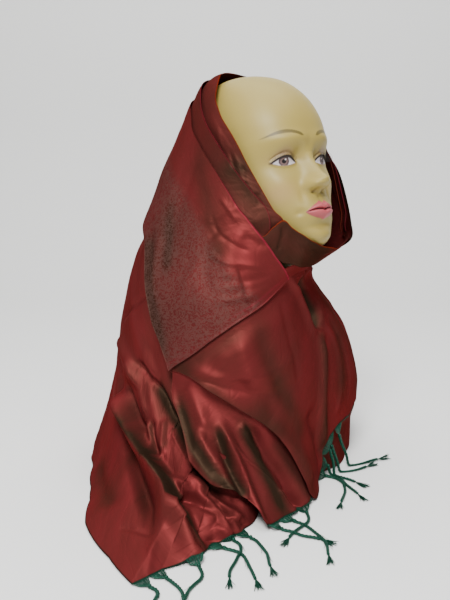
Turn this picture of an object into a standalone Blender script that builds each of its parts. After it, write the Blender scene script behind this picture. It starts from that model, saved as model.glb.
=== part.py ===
"""A fringed silk shawl worn as a hijab, wound on a limbless head and shoulders form.

Lengths in the tables are millimetres, bearings are degrees round the vertical axis, counted
from straight ahead (the way the form faces, -Y) towards the form's own right hand (-X).
The origin is the middle of the form's flat base, on the surface that it stands on.
"""
import math

import bmesh
import bpy
import numpy as np

MM = 0.001

# Driving sizes
WALL = 1.2            # thickness of the cloth's wall
LAYER = 3.6           # from one layer's face to the next where they overlap
UNDERLAP = 24.0       # how far a layer runs on under the one that covers it
ROW_STEP = 36.0       # about how far apart the rows of the drape's table lie on the cloth
SEAT = 0.6            # between a layer and the one that it rests on
LIFT = 0.5            # the lowest cloth above the standing surface
BASE_HEIGHT = 0.0     # the form's flat base
HEAD_CENTRE = (0.0, -15.0, 352.0)   # middle of the head, between the ears
HEAD_TILT = 14.7      # the chin is raised by this, degrees

# The smooth drape: its reach from the vertical axis in eight directions, a row per height
DRAPE_COLUMNS = ("height", "front", "front_right", "right", "back_right",
                 "back", "back_left", "left", "front_left")
DRAPE = (
    (497, 0, 0, 0, 0, 0, 0, 0, 0),
    (493, 28, 27, 28, 33, 36, 33, 28, 27),
    (482, 54, 52, 52, 59, 65, 60, 52, 52),
    (461, 78, 74, 71, 77, 86, 78, 71, 74),
    (428, 99, 93, 86, 91, 100, 91, 85, 93),
    (390, 110, 103, 96, 103, 108, 101, 94, 107),
    (350, 118, 112, 108, 117, 112, 106, 100, 116),
    (310, 128, 124, 124, 133, 116, 112, 103, 124),
    (285, 121, 132, 134, 141, 118, 115, 99, 124),
    (262, 104, 140, 145, 148, 121, 118, 94, 91),
    (238, 86, 149, 155, 156, 124, 122, 93, 70),
    (212, 93, 158, 163, 162, 127, 129, 103, 80),
    (182, 107, 167, 171, 168, 129, 138, 127, 101),
    (150, 122, 176, 177, 173, 132, 149, 148, 120),
    (110, 131, 181, 182, 176, 136, 156, 158, 133),
    (70, 131, 185, 187, 182, 141, 159, 162, 133),
    (40, 131, 188, 192, 190, 145, 161, 164, 131),
    (20, 132, 190, 196, 196, 148, 162, 165, 131),
    (8, 132, 192, 199, 199, 150, 163, 165, 131),
    (1, 133, 193, 201, 201, 152, 164, 165, 131),
)
HEIGHTS = np.array(DRAPE, float)[:, DRAPE_COLUMNS.index("height")]
REACHES = np.array(DRAPE, float)[:, DRAPE_COLUMNS.index("front"):]
SECTOR = 360.0 / REACHES.shape[1]      # from one direction of the table to the next, degrees
LAST_LEVEL = len(DRAPE) - 1.001        # the drape's foot, as a fractional row

# Where the cloth's edge lies on the surface: rows of (bearing, reach)
TRAIL_HEIGHT = 150.0   # below this the cloth spreads towards its edge
TRAIL_POWER = 3.0
BACK_HEM = ((30, 180), (36.5, 196), (38.5, 225), (41, 242), (43, 250), (45.5, 259), (49.8, 288),
            (52.2, 321), (56.2, 345), (58.9, 380), (66.3, 344), (79, 300), (88, 260), (95, 241),
            (110, 218), (130, 204), (150, 176), (180, 156), (220, 163), (265, 166))
FRONT_HEM = ((-152, 168), (-42, 131), (-0.8, 135), (5.6, 139), (14, 172), (21.9, 204), (31.8, 221),
             (37.2, 240), (43, 252), (45.5, 262), (49.8, 290), (52.2, 322), (56.2, 345), (58.9, 380),
             (70, 330), (88, 258))


def cubic(before, start, end, after, f):
    """Catmull-Rom between start and end."""
    bend = 3 * (start - end) + after - before
    return start + 0.5 * f * (end - before + f * (2 * before - 5 * start + 4 * end - after + f * bend))


def through(rows, x):
    """Smooth value through equally spaced rows at a fractional row number; rows may be vectors."""
    rows = np.asarray(rows, float)
    x = np.clip(np.asarray(x, float), 0, len(rows) - 1)
    i = np.minimum(x.astype(int), len(rows) - 2)
    f = x - i
    if rows.ndim > 1:
        f = f[..., None]
    first = 2 * rows[0] - rows[1]
    last = 2 * rows[-1] - rows[-2]
    padded = np.concatenate([first[None], rows, last[None]])
    return cubic(padded[i], padded[i + 1], padded[i + 2], padded[i + 3], f)


def ring(bearing, level):
    """Reach of one row of DRAPE at a bearing. A negative level mirrors across the crown."""
    flip = level < 0
    row = REACHES[np.minimum(np.abs(level), len(REACHES) - 1)]
    k = np.where(flip, np.asarray(bearing) + 180.0, bearing) / SECTOR
    i = np.floor(k).astype(int)
    take = [np.take_along_axis(row, ((i + j) % 8)[..., None], -1)[..., 0] for j in (-1, 0, 1, 2)]
    reach = cubic(*take, k - i)
    return np.where(flip, -reach, reach)


def drape(bearing, level):
    """Reach and height of the smooth drape at a bearing and a fractional row of DRAPE."""
    bearing, level = np.broadcast_arrays(np.asarray(bearing, float), np.asarray(level, float))
    i = np.minimum(np.floor(level).astype(int), len(DRAPE) - 2)
    f = level - i
    reach = cubic(*[ring(bearing, i + j) for j in (-1, 0, 1, 2)], f)
    heights = [HEIGHTS[np.minimum(np.abs(i + j), len(DRAPE) - 1)] for j in (-1, 0, 1, 2)]
    return np.maximum(reach, 0.0), cubic(*heights, f)


FINE_LEVELS = np.linspace(0, LAST_LEVEL, 900)
FINE_HEIGHTS = drape(np.zeros(900), FINE_LEVELS)[1]


def level_of(height):
    """The fractional row of DRAPE at a height."""
    return np.interp(-np.asarray(height, float), -FINE_HEIGHTS, FINE_LEVELS)


def trail(bearing, height, hem):
    """How much further than the smooth drape the cloth reaches where it spreads to its hem."""
    hem = np.asarray(hem, float)
    edge = np.interp(bearing, hem[:, 0], hem[:, 1])
    close = drape(bearing, LAST_LEVEL)[0]
    return (edge - close) * np.clip(1 - np.asarray(height) / TRAIL_HEIGHT, 0, 1) ** TRAIL_POWER


def cylinder_point(bearing, reach, height):
    """A point at a bearing and a reach from the vertical axis, at a height."""
    a = np.radians(bearing)
    return np.stack([-np.sin(a) * reach, -np.cos(a) * reach, height + 0 * reach], -1)


def bearing_of(points):
    """The bearing of points, from -180 to 180 degrees."""
    return np.degrees(np.arctan2(-points[..., 0], -points[..., 1]))


def soft(low, high, x):
    """A smooth step from 0 at low to 1 at high, which may be the smaller."""
    f = np.clip((np.asarray(x, float) - low) / (high - low), 0, 1)
    return f * f * (3 - 2 * f)


def grid_normals(points):
    """Normals of a grid of points, outwards from the vertical axis and up."""
    down = np.gradient(points, axis=0)
    across = np.gradient(points, axis=1)
    n = np.cross(down, across)
    n /= np.linalg.norm(n, axis=-1, keepdims=True) + 1e-9
    middle = np.array([0.0, 0.0, 150.0])
    outward = ((points - middle) * n).sum(-1)
    if np.median(outward) < 0:
        n = -n
    return n


def settle(points, floor):
    """Lifts what would sink under the standing surface."""
    lifted = points.copy()
    lifted[..., 2] = np.maximum(lifted[..., 2], floor)
    return lifted


def material(name, colour, roughness):
    """A plain finish with a linear colour."""
    mat = bpy.data.materials.new(name)
    mat.use_nodes = True
    shader = mat.node_tree.nodes["Principled BSDF"]
    shader.inputs["Base Color"].default_value = (*colour, 1.0)
    shader.inputs["Roughness"].default_value = roughness
    shader.inputs["Metallic"].default_value = 0.0
    return mat


def add_object(name, mesh_points, faces, mat):
    """An object from points in millimetres, with its faces turned outwards."""
    mesh = bpy.data.meshes.new(name)
    mesh.from_pydata([tuple(float(c) * MM for c in p) for p in mesh_points], [], faces)
    bm = bmesh.new()
    bm.from_mesh(mesh)
    bmesh.ops.recalc_face_normals(bm, faces=bm.faces)
    if bm.calc_volume(signed=True) < 0:
        bmesh.ops.reverse_faces(bm, faces=bm.faces)
    bmesh.ops.triangulate(bm, faces=bm.faces, quad_method="SHORT_EDGE")
    bm.to_mesh(mesh)
    bm.free()
    mesh.materials.append(mat)
    mesh.shade_smooth()
    obj = bpy.data.objects.new(name, mesh)
    bpy.context.collection.objects.link(obj)
    return obj


def cloth(name, base, raised, mat):
    """A closed wall of cloth: its outer face is the base grid raised along its normals."""
    outer = base + grid_normals(base) * np.asarray(raised)[..., None]
    inner = outer - grid_normals(outer) * WALL
    inner = settle(inner, LIFT)
    outer = settle(outer, LIFT + WALL * 0.98)
    rows, cols = outer.shape[:2]
    size = rows * cols
    points = np.concatenate([outer.reshape(-1, 3), inner.reshape(-1, 3)])

    def at(i, j, side=0):
        return side * size + i * cols + j

    faces = []
    for i in range(rows - 1):
        for j in range(cols - 1):
            faces.append((at(i, j), at(i, j + 1), at(i + 1, j + 1), at(i + 1, j)))
            faces.append((at(i, j, 1), at(i + 1, j, 1), at(i + 1, j + 1, 1), at(i, j + 1, 1)))
    rim = [(0, j) for j in range(cols)] + [(i, cols - 1) for i in range(1, rows)]
    rim += [(rows - 1, j) for j in range(cols - 2, -1, -1)] + [(i, 0) for i in range(rows - 2, 0, -1)]
    for (i, j), (m, n) in zip(rim, rim[1:] + rim[:1]):
        faces.append((at(i, j), at(i, j, 1), at(m, n, 1), at(m, n)))
    add_object(name, points, faces, mat)
    return (outer + inner)[-1] / 2, (outer - outer[-2:-1])[-1]


def path_fractions(points, count):
    """Equal steps along a smooth curve through points: a row per step."""
    points = np.asarray(points, float)
    fine = through(points, np.linspace(0, len(points) - 1, 40 * len(points)))
    step = np.linalg.norm(np.diff(fine[:, :2], axis=0), axis=1)
    along = np.concatenate([[0], np.cumsum(step)])
    want = np.linspace(0, along[-1], count)
    return np.stack([np.interp(want, along, fine[:, k]) for k in range(fine.shape[1])], -1)


def plan(line):
    """A line of (bearing, height) as points on the flat plan of the drape, rows apart."""
    line = np.asarray(line, float)
    level = level_of(line[:, 1])
    a = np.radians(line[:, 0])
    return np.stack([-np.sin(a) * level, -np.cos(a) * level], -1)


def from_plan(flat, hem=None):
    """Points of the smooth drape at points of its flat plan, spread towards a hem."""
    level = np.minimum(np.hypot(flat[..., 0], flat[..., 1]), LAST_LEVEL)
    bearing = bearing_of(flat)
    reach, height = drape(bearing, level)
    if hem is not None:
        turned = np.where(bearing < hem[0][0] - 1, bearing + 360, bearing)
        reach = reach + trail(turned, height, hem)
    return cylinder_point(bearing, reach, height)


def relief(points, folds):
    """Sum of soft ridges and troughs."""
    total = np.zeros(points.shape[:-1])
    for row in folds:
        fold = dict(zip(FOLD_COLUMNS, row))
        fine = fold_line(fold["line"])
        gap = np.linalg.norm(points[..., None, :] - fine, axis=-1)
        near = gap.argmin(-1)
        along = near / (len(fine) - 1)
        ends = soft(0, 0.18, along) * soft(0, 0.18, 1 - along)
        total += fold["raise"] * np.exp(-(gap.min(-1) / fold["half_width"]) ** 2) * (0.25 + 0.75 * ends)
    return total


def fold_line(line, count=60):
    """Points of a fold's line, given as (bearing, height), on the drape."""
    flat = path_fractions(plan(line), count)
    return from_plan(flat, BACK_HEM if line[0][0] > 60 or line[-1][0] > 40 else FRONT_HEM)


# The edges over the head, as (bearing, height), from the form's right side over to its left
HOOD_FRONT = ((19.8, 250), (28.8, 277), (36.3, 301), (44.2, 322), (51.5, 339), (64, 369),
              (79.4, 396), (96, 419), (110, 440), (135, 456), (160, 463), (180, 464), (-155, 461),
              (-125, 448), (-95, 424), (-68, 396), (-50, 362), (-43, 325), (-41, 290), (-46, 258))
HOOD_BACK = ((73.5, 150), (75.3, 160), (79.2, 177), (85.2, 203), (94.5, 246), (108.6, 289),
             (124, 310), (150, 335), (180, 343), (-152, 336), (-125, 312), (-108, 280), (-96, 245),
             (-86, 215), (-80, 190))
MIDDLE_FRONT = ((32, 300), (33, 330), (42.3, 353), (53.7, 377), (64.7, 400), (76.5, 422),
                (88.2, 439), (100.1, 456), (122, 475), (150, 483), (180, 484), (-150, 479),
                (-115, 464), (-86, 436), (-64, 406), (-49, 372), (-42, 335), (-39, 300))
INNER_FRONT = ((24, 298), (24, 320), (30.1, 335), (39.7, 366), (49.6, 395), (64, 430), (72, 445),
               (79.9, 459), (90.2, 478), (120, 490), (150, 493), (180, 493), (-145, 490),
               (-108, 477), (-80, 452), (-62, 424), (-47, 386), (-39, 344), (-35, 300))


def patch(top, bottom, left, right, rows, cols):
    """A grid of plan points between four lines: rows run from top to bottom."""
    t, b = path_fractions(plan(top), cols), path_fractions(plan(bottom), cols)
    l, r = path_fractions(plan(left), rows), path_fractions(plan(right), rows)
    u = np.linspace(0, 1, cols)[None, :, None]
    v = np.linspace(0, 1, rows)[:, None, None]
    corners = ((1 - u) * (1 - v) * t[0] + u * (1 - v) * t[-1] + (1 - u) * v * b[0] + u * v * b[-1])
    return (1 - v) * t[None] + v * b[None] + (1 - u) * l[:, None] + u * r[:, None] - corners


def shift(line, turn, up):
    """A line moved round by some degrees and up by some millimetres."""
    return tuple((bearing + turn, height + up) for bearing, height in line)


# The folded edge down the right side, from the nape to its foot on the surface
EDGE_BACK = ((73.5, 150), (72.5, 133), (69.5, 114), (64.4, 89), (58, 61), (51, 43), (44.8, 30),
             (41, 16), (38, 2))
# The right lower edge of the hood, from its front edge to the corner
EDGE_HOOD = ((19.8, 250), (27, 241), (38.2, 224), (50.3, 204), (59.4, 184), (66, 168), (73.5, 150))
# The lower edge of the front wrap, from the corner to its foot, then along its hem to the left
EDGE_WRAP = ((73.5, 150), (65.5, 148), (59.4, 140), (52.3, 128), (46, 115), (41, 105), (37, 96),
             (31.3, 76), (25.5, 49), (22, 26), (19.5, 9), (16, 2))
HEM_WRAP = ((16, 2), (11, 2), (5.6, 2), (2, 14), (-1, 32), (-5, 46), (-13, 54), (-28, 59),
            (-42, 62), (-70, 64), (-100, 68), (-125, 76), (-150, 92))

# Folds: how far they stand out of the drape, and the line of (bearing, height) that they follow
FOLD_COLUMNS = ("name", "raise", "half_width", "line")
BACK_FOLDS = (
    ("shadow beside the edge", -9, 13, ((80, 172), (74, 134), (66, 90), (60, 62), (52, 42), (43, 20))),
    ("long ridge", 20, 14, ((112, 100), (100, 94), (88, 78), (79, 66), (69, 52), (61, 34), (55, 12))),
    ("trough before the ridge", -12, 12, ((96, 112), (86, 92), (77, 70), (66, 48), (58, 20), (54, 4))),
    ("trough behind the ridge", -11, 13, ((112, 112), (98, 78), (84, 56), (72, 38), (62, 18))),
    ("rounded ridge", 14, 11, ((74, 56), (66, 50), (59, 52), (54, 46), (50, 26), (47, 6))),
    ("hollow in the rounded ridge", -9, 10, ((62, 40), (57, 37), (53, 26), (50, 12))),
    ("trough from the shoulder", -10, 12, ((98, 152), (86, 138), (77, 112), (71, 96), (64, 78))),
    ("short pocket", -10, 10, ((92, 122), (87, 98), (80, 68))),
    ("shoulder ridge", 8, 14, ((112, 170), (103, 154), (94, 134), (90, 116))),
    ("outline trough", -7, 12, ((124, 176), (116, 146), (106, 112), (98, 84))),
    ("upper crease", -4, 9, ((90, 230), (100, 211), (112, 188))),
    ("back ridge 1", 7, 17, ((140, 210), (136, 130), (127, 60), (118, 4))),
    ("back trough 1", -10, 15, ((152, 250), (151, 140), (145, 60), (140, 4))),
    ("back ridge 2", 12, 19, ((168, 270), (166, 150), (162, 60), (158, 4))),
    ("back trough 2", -10, 16, ((186, 260), (184, 140), (182, 50), (182, 4))),
    ("back ridge 3", 11, 19, ((206, 220), (204, 140), (206, 50), (208, 4))),
)
WRAP_FOLDS = (
    ("neck slit", -12, 8, ((8, 243), (3, 226), (0, 210), (-2, 196), (-5, 184))),
    ("near neck roll", 5, 10, ((14, 242), (9, 222), (6, 204), (2, 186))),
    ("chest ridge", 5, 12, ((-4, 150), (-2, 124), (-4, 92), (-6, 60))),
    ("lip of the tuck", 7, 12, ((62, 139), (52, 119), (44, 97), (37, 78))),
    ("third ridge", 5, 14, ((36, 100), (29, 74), (21, 46), (17, 14))),
    ("trough beside it", -5, 14, ((15, 100), (8, 66), (3, 44), (0, 24))),
    ("hollow below the corner", -4, 14, ((60, 165), (50, 150), (40, 128), (30, 100))),
    ("far shoulder trough", -6, 16, ((-70, 190), (-62, 140), (-58, 90))),
    ("far shoulder ridge", 8, 18, ((-96, 210), (-88, 150), (-84, 84))),
    ("far back trough", -6, 15, ((-118, 220), (-112, 150), (-106, 90))),
    ("far back ridge", 7, 15, ((-138, 230), (-132, 150), (-126, 96))),
)
END_FOLDS = (
    ("second ridge", 9, 11, ((52, 100), (47, 70), (43, 44), (40, 22), (38, 4))),
    ("dark hollow", -8, 10, ((40, 90), (35, 62), (29, 36), (25, 12), (23, 3))),
    ("bright ridge", 7, 10, ((58, 88), (54, 70), (50, 54))),
)


def make_hood(mat):
    rows, cols = 15, 47
    far = ((-46, 258), (-58, 236), (-70, 212), (-80, 190))
    base = from_plan(patch(HOOD_FRONT, HOOD_BACK, EDGE_HOOD, far, rows, cols))
    v = np.linspace(0, 1, rows)[:, None]
    u = np.linspace(0, 1, cols)[None]
    raised = 2.4 * np.exp(-((v - 1) / 0.07) ** 2) * (1 - soft(0.3, 0.45, u))
    return cloth("hood", base, raised, mat)


def make_pleats(mats):
    for name, front, behind, depth, mat in (
            ("pleat_middle", MIDDLE_FRONT, HOOD_FRONT[2:-1], 1, mats[0]),
            ("pleat_inner", INNER_FRONT, MIDDLE_FRONT[1:], 2.1, mats[1])):
        rows, cols = 5, 37
        first = path_fractions(plan(front), cols)
        last = path_fractions(plan(behind), cols)
        way = np.gradient(last, axis=0)
        back = np.stack([way[:, 1], -way[:, 0]], -1) / np.linalg.norm(way, axis=1, keepdims=True)
        back *= np.sign(((last - first) * back).sum())
        last = last + back * UNDERLAP / ROW_STEP
        f = np.linspace(0, 1, rows)[:, None, None]
        base = from_plan(first[None] * (1 - f) + last[None] * f)
        under_band = soft(322, 304, base[..., 2]) * (base[..., 1] < 0)
        bearing = bearing_of(base)
        far_side = 0.4 * soft(-20, -38, bearing) * (bearing > -100) * soft(425, 385, base[..., 2])
        cloth(name, base, -LAYER * (depth * (1 + far_side) + under_band), mat)


def make_chin_band(mat):
    """The strip that passes under the chin and is tucked under the hood at both sides."""
    top = ((48, 312), (37, 303), (30.8, 313), (24.5, 321), (20, 312), (15, 304), (7, 294), (-4, 286),
           (-20, 280), (-34, 282), (-46, 290), (-56, 302))
    bottom = ((44, 282), (36, 280), (28.2, 275), (23.8, 270), (17, 266), (9, 262), (-4, 260),
              (-18, 264), (-34, 276), (-46, 282), (-56, 286))
    flat = patch(top, bottom, (top[0], bottom[0]), (top[-1], bottom[-1]), 5, 29)
    base = from_plan(flat)
    bearing = bearing_of(base)
    tucked = -LAYER * (soft(11, 20, bearing) + soft(-22, -34, bearing))
    return cloth("chin_band", base, tucked, mat)


# The fringed stretch of the back drape's hem: where its strip's segments begin and end
FRINGED_BEARINGS = (42.5, 45.5, 48.2, 50.9, 53.5, 56.0, 57.6, 58.9)


def make_back_drape(mat):
    """The shawl's long side, which falls from the nape and spreads on the surface."""
    rows = 15
    edge = EDGE_BACK[::-1] + HOOD_BACK[1:10]
    top = [(b % 360 if b < -20 else b, h) for b, h in shift(edge, -2.5, 16)]
    top = [(b, min(h + 6, 345)) for b, h in top] + [(250, 285), (262, 262)]
    bearings = np.concatenate([(36.5, 39.5), FRINGED_BEARINGS, np.linspace(62.5, 94, 10),
                               np.linspace(99, 258, 25)])
    starts = np.interp(bearings, [b for b, _ in top], [h for _, h in top])
    levels = level_of(starts)[None] + (level_of(2.0) - level_of(starts))[None] * \
        np.linspace(0, 1, rows)[:, None] ** 0.95
    a = np.radians(bearings)[None]
    flat = np.stack([-np.sin(a) * levels, -np.cos(a) * levels], -1)
    base = from_plan(flat, BACK_HEM)
    cover = fold_line(HOOD_BACK, 80)
    cover = np.concatenate([cover, fold_line(EDGE_BACK, 60)])
    gap = np.linalg.norm(base[..., None, :] - cover, axis=-1).min(-1)
    under = -LAYER * 2.2 * soft(50, 22, gap)
    turned = bearing_of(base) % 360
    under = under - LAYER * 0.9 * soft(188, 208, turned)
    folds = relief(base, BACK_FOLDS)
    folds = np.where(folds > 0, folds * soft(8, 30, gap), folds)
    return cloth("back_drape", base, under + folds, mat)


def over_left_shoulder(bearing):
    """How far the front wrap stands out where it passes over the layers on the left."""
    return LAYER * 1.3 * soft(-34, -54, bearing)


def make_front_wrap(mat):
    """The shawl's second turn: from under the hood across the chest to the left shoulder."""
    top = ((75, 176), (66, 192), (58, 212), (48, 228), (36, 248), (24, 262), (12, 266), (0, 266),
           (-20, 258), (-40, 248), (-60, 244), (-85, 244), (-110, 256), (-132, 268), (-150, 276))
    bottom = EDGE_WRAP + HEM_WRAP[1:]
    flat = patch(top, bottom, (top[0], bottom[0]), (top[-1], bottom[-1]), 17, 45)
    base = from_plan(flat, FRONT_HEM)
    cover = fold_line(EDGE_HOOD, 80)
    gap = np.linalg.norm(base[..., None, :] - cover, axis=-1).min(-1)
    bearing = bearing_of(base)
    edge_height = np.interp(bearing, [b for b, _ in EDGE_HOOD], [h for _, h in EDGE_HOOD])
    gap = np.where(base[..., 2] > edge_height, 0, gap)
    under = -LAYER * soft(30, 4, gap)
    return cloth("front_wrap", base, under + over_left_shoulder(bearing) + relief(base, WRAP_FOLDS), mat)


def make_near_end(mat):
    """The fringed end of the shawl, from under the tuck down to the surface."""
    right = shift(EDGE_WRAP, -3.5, 9)[1:]
    top = ((75, 168), (70, 162), (62, 155))
    bottom = ((37.5, 2), (34, 2), (28, 2), (20, 2), (12, 2))
    flat = patch(top, bottom, EDGE_BACK, right, 17, 19)
    base = from_plan(flat, FRONT_HEM)
    cover = fold_line(EDGE_WRAP, 80)
    gap = np.linalg.norm(base[..., None, :] - cover, axis=-1).min(-1)
    under = -LAYER * 1.54 * soft(36, 8, gap)
    rolled = 3.0 * np.exp(-(np.linspace(0, 1, 19)[None] / 0.1) ** 2) * soft(8, 40, gap)
    return cloth("near_end", base, under + rolled + relief(base, END_FOLDS), mat)


def make_under_end(mat):
    """What shows of the first turn below the front wrap, on the left of the front."""
    top = ((0, 76), (-20, 82), (-45, 88), (-75, 90), (-108, 92))
    bottom = ((4, 2), (-16, 2), (-40, 2), (-75, 2), (-110, 2))
    flat = patch(top, bottom, (top[0], bottom[0]), (top[-1], bottom[-1]), 7, 25)
    base = from_plan(flat, FRONT_HEM)
    bearing = bearing_of(base)
    seated = over_left_shoulder(bearing) + relief(base, WRAP_FOLDS) - WALL - SEAT
    seated = seated - LAYER * (1.6 * soft(-22, -8, bearing) + soft(62, 40, base[..., 2]))
    tucked = soft(-82, -97, bearing)
    return cloth("under_end", base, seated * (1 - tucked) - LAYER * 2.1 * tucked, mat)


# Fringe: the segment of its strip that each tassel hangs from, its length, the way it sets off
# (degrees from straight out, to the form's left when positive) and how much it curls on its way
STRIP_GAP = 1.2       # from the cloth's edge to the strip
STRIP_WIDTH = 4.0
STRIP_THICK = 1.1
GATHER = 20.0         # the fan of threads above each knotted strand
STRAND = 2.6
TASSEL_COLUMNS = ("segment", "length", "heading", "curl")
BACK_TASSELS = ((0, 72, -32, 0), (1, 88, -72, 40), (2, 80, -24, -40), (3, 80, -40, 10),
                (5, 60, -24, -10), (6, 60, -50, 0))
END_TASSELS = ((1, 54, 0, 4), (4, 92, -16, -40), (10, 74, -50, 20))
WRAP_TASSELS = ((0, 92, -60, -20), (1, 84, -38, -10), (2, 72, 0, 20), (3, 84, 20, 50),
                (5, 96, 56, 0))


def tassel_path(start, out, across, row, steps=6):
    """A strand's middle line: it leaves the hem, falls to the surface and lies in a curve."""
    tassel = dict(zip(TASSEL_COLUMNS, row))
    flat_out = np.array([across[1], -across[0], 0.0])
    flat_out *= np.sign(flat_out @ start) / np.linalg.norm(flat_out)
    side = np.array([-flat_out[1], flat_out[0], 0.0])
    lowest = LIFT + STRAND / 2 + 0.1
    points = [start, start + out * GATHER * 0.5]
    points[1][2] = max(points[1][2], lowest)
    step = (tassel["length"] - GATHER * 0.5) / steps
    for k in range(steps):
        turn = math.radians(tassel["heading"] * min(1, k / 2) + tassel["curl"] * k / steps)
        way = flat_out * math.cos(turn) + side * math.sin(turn)
        high = points[-1][2] > lowest + 0.5
        way = way * 0.35 + np.array([0, 0, -0.94]) if high else way
        ahead = points[-1] + way * step
        ahead[2] = max(ahead[2], lowest)
        points.append(ahead)
    return points


def fringe(name, hem, out, first, last, tassels, mat):
    """A backing strip along a stretch of hem, with its tassels drawn out of its outer side."""
    hem, out = hem[first:last], out[first:last]
    out = out / np.linalg.norm(out, axis=1, keepdims=True)
    across = np.gradient(hem, axis=0)
    across /= np.linalg.norm(across, axis=1, keepdims=True)
    out = out - across * (out * across).sum(1, keepdims=True)
    out /= np.linalg.norm(out, axis=1, keepdims=True)
    lowest = LIFT + STRIP_THICK / 2 + 0.05
    drop = (hem[:, 2] - lowest).clip(0) / (STRIP_WIDTH + STRIP_GAP)
    out[:, 2] = np.maximum(out[:, 2], -drop)
    out /= np.linalg.norm(out, axis=1, keepdims=True)
    face = np.cross(across, out)
    face /= np.linalg.norm(face, axis=1, keepdims=True)
    near = hem + out * STRIP_GAP
    far = near + out * STRIP_WIDTH
    half = face * STRIP_THICK / 2
    floor = np.array([0, 0, 1.0])
    points, faces = [], []
    for a, b, h in zip(near, far, half):
        four = [a + h, a - h, b - h, b + h]
        lift = max(0.0, LIFT - min(q[2] for q in four))
        points += [q + floor * lift for q in four]
    count = len(near)
    rooted = {row[TASSEL_COLUMNS.index("segment")]: row for row in tassels}
    for i in range(count - 1):
        p, q = 4 * i, 4 * i + 4
        faces += [(p, q, q + 1, p + 1), (p + 1, q + 1, q + 2, p + 2), (p + 3, q + 3, q, p)]
        root = (p + 3, p + 2, q + 2, q + 3)
        if i not in rooted:
            faces.append(root)
            continue
        middle = np.mean([points[k] for k in root], axis=0)
        way = (out[i] + out[i + 1]) / 2
        path = tassel_path(middle, way, across[i], rooted[i])
        ring_before = root
        wide = points[root[3]] - points[root[0]]
        tall = points[root[0]] - points[root[1]]
        for k, centre in enumerate(path[1:], 1):
            forward = path[min(k + 1, len(path) - 1)] - path[k - 1]
            forward = forward / np.linalg.norm(forward)
            wide = wide - forward * (wide @ forward)
            wide = wide / np.linalg.norm(wide)
            tall = tall - forward * (tall @ forward) - wide * (tall @ wide)
            tall = tall / np.linalg.norm(tall)
            w = (STRAND * 1.5 if k == 1 else STRAND) / 2 * (1 if k < len(path) - 1 else 0.5)
            t = STRAND / 2 * (1 if k < len(path) - 1 else 0.5)
            start = len(points)
            points += [centre - wide * w + tall * t, centre - wide * w - tall * t,
                       centre + wide * w - tall * t, centre + wide * w + tall * t]
            ring_now = (start, start + 1, start + 2, start + 3)
            for m in range(4):
                n = (m + 1) % 4
                faces.append((ring_before[m], ring_before[n], ring_now[n], ring_now[m]))
            ring_before = ring_now
        faces.append(ring_before)
    faces.append((0, 1, 2, 3))
    end = 4 * (count - 1)
    faces.append((end + 3, end + 2, end + 1, end))
    points = [np.array([q[0], q[1], max(q[2], LIFT)]) for q in points]
    return add_object(name, points, faces, mat)


# The form's head in its own frame: a row per height above the ears
HEAD_COLUMNS = ("up", "front", "back", "half_width", "squareness")
HEAD = (
    (137, 6, -14, 8, 2.0),
    (131, 32, -52, 36, 2.0),
    (118, 57, -74, 53, 2.1),
    (95, 80, -87, 65, 2.15),
    (68, 93, -92, 72, 2.2),
    (42, 96, -92, 73, 2.25),
    (20, 91, -88, 72, 2.3),
    (0, 89, -83, 70, 2.3),
    (-18, 91, -75, 68, 2.25),
    (-34, 93, -66, 65, 2.2),
    (-50, 94, -58, 61, 2.15),
    (-66, 94, -52, 54, 2.1),
    (-80, 92, -50, 43, 2.1),
    (-90, 80, -48, 30, 2.0),
    (-95, 56, -44, 18, 2.0),
)
# Features of the face: how far they stand out, and their middle and half widths across and up
FACE_COLUMNS = ("raise", "across", "up", "half_across", "half_up")
FACE = (
    (14, 0, -8, 9, 20),
    (18, 0, -15, 9, 9),
    (6, 14, -19, 8, 8),
    (-10, 31, 13, 17, 11),
    (5, 31, 13, 13, 9),
    (4, 26, 40, 24, 9),
    (10, 0, -39, 17, 7),
    (10, 0, -56, 15, 7),
    (-3, 0, -47, 22, 2.5),
    (-3, 0, -66, 18, 6),
    (4, 0, -78, 20, 12),
    (3, 44, -22, 18, 20),
)
HEAD_SIDES = 36       # points round the head
HEAD_STEPS = 27       # rings from the crown to the chin
FACE_DETAIL = 0.42    # how much closer together the points are over the face
# The form's neck and shoulders: a row per height
BUST_COLUMNS = ("height", "front", "back", "half_width", "squareness")
BUST = (
    (0, 90, 84, 135, 2.3),
    (50, 93, 87, 139, 2.3),
    (100, 92, 88, 142, 2.3),
    (132, 86, 85, 139, 2.3),
    (155, 79, 80, 128, 2.2),
    (176, 70, 74, 102, 2.1),
    (196, 64, 69, 82, 2.05),
    (218, 58, 64, 66, 2.0),
    (245, 55, 62, 58, 2.0),
    (275, 54, 62, 55, 2.0),
    (305, 50, 62, 53, 2.0),
    (335, 42, 58, 46, 2.0),
)
BUST_SIDES = 28
BUST_STEPS = 15


def columns(table, names, steps):
    """The named columns of a table, read smoothly at a number of even steps."""
    rows = through(np.array(table, float), np.linspace(0, len(table) - 1, steps))
    return [rows[:, names.index(name)][:, None] for name in names]


def oval(front, back, half_width, power, angle):
    """Across and forward of an oval outline: squarer for a larger power."""
    c, s = np.cos(angle), np.sin(angle)
    across = half_width * np.sign(s) * np.abs(s) ** (2 / power)
    forward = np.abs(c) ** (2 / power) * np.where(c > 0, front, back)
    return across, forward


def lofted(rings, cap_low, cap_high, name, mat):
    """A closed body through rings of points, ended by a point at each end."""
    rows, cols = rings.shape[:2]
    points = list(rings.reshape(-1, 3)) + [cap_low, cap_high]
    faces = []
    for i in range(rows - 1):
        for j in range(cols):
            k = (j + 1) % cols
            faces.append((i * cols + j, i * cols + k, (i + 1) * cols + k, (i + 1) * cols + j))
    for j in range(cols):
        k = (j + 1) % cols
        faces.append((j, k, rows * cols))
        faces.append(((rows - 1) * cols + j, (rows - 1) * cols + k, rows * cols + 1))
    return add_object(name, points, faces, mat)


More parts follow.
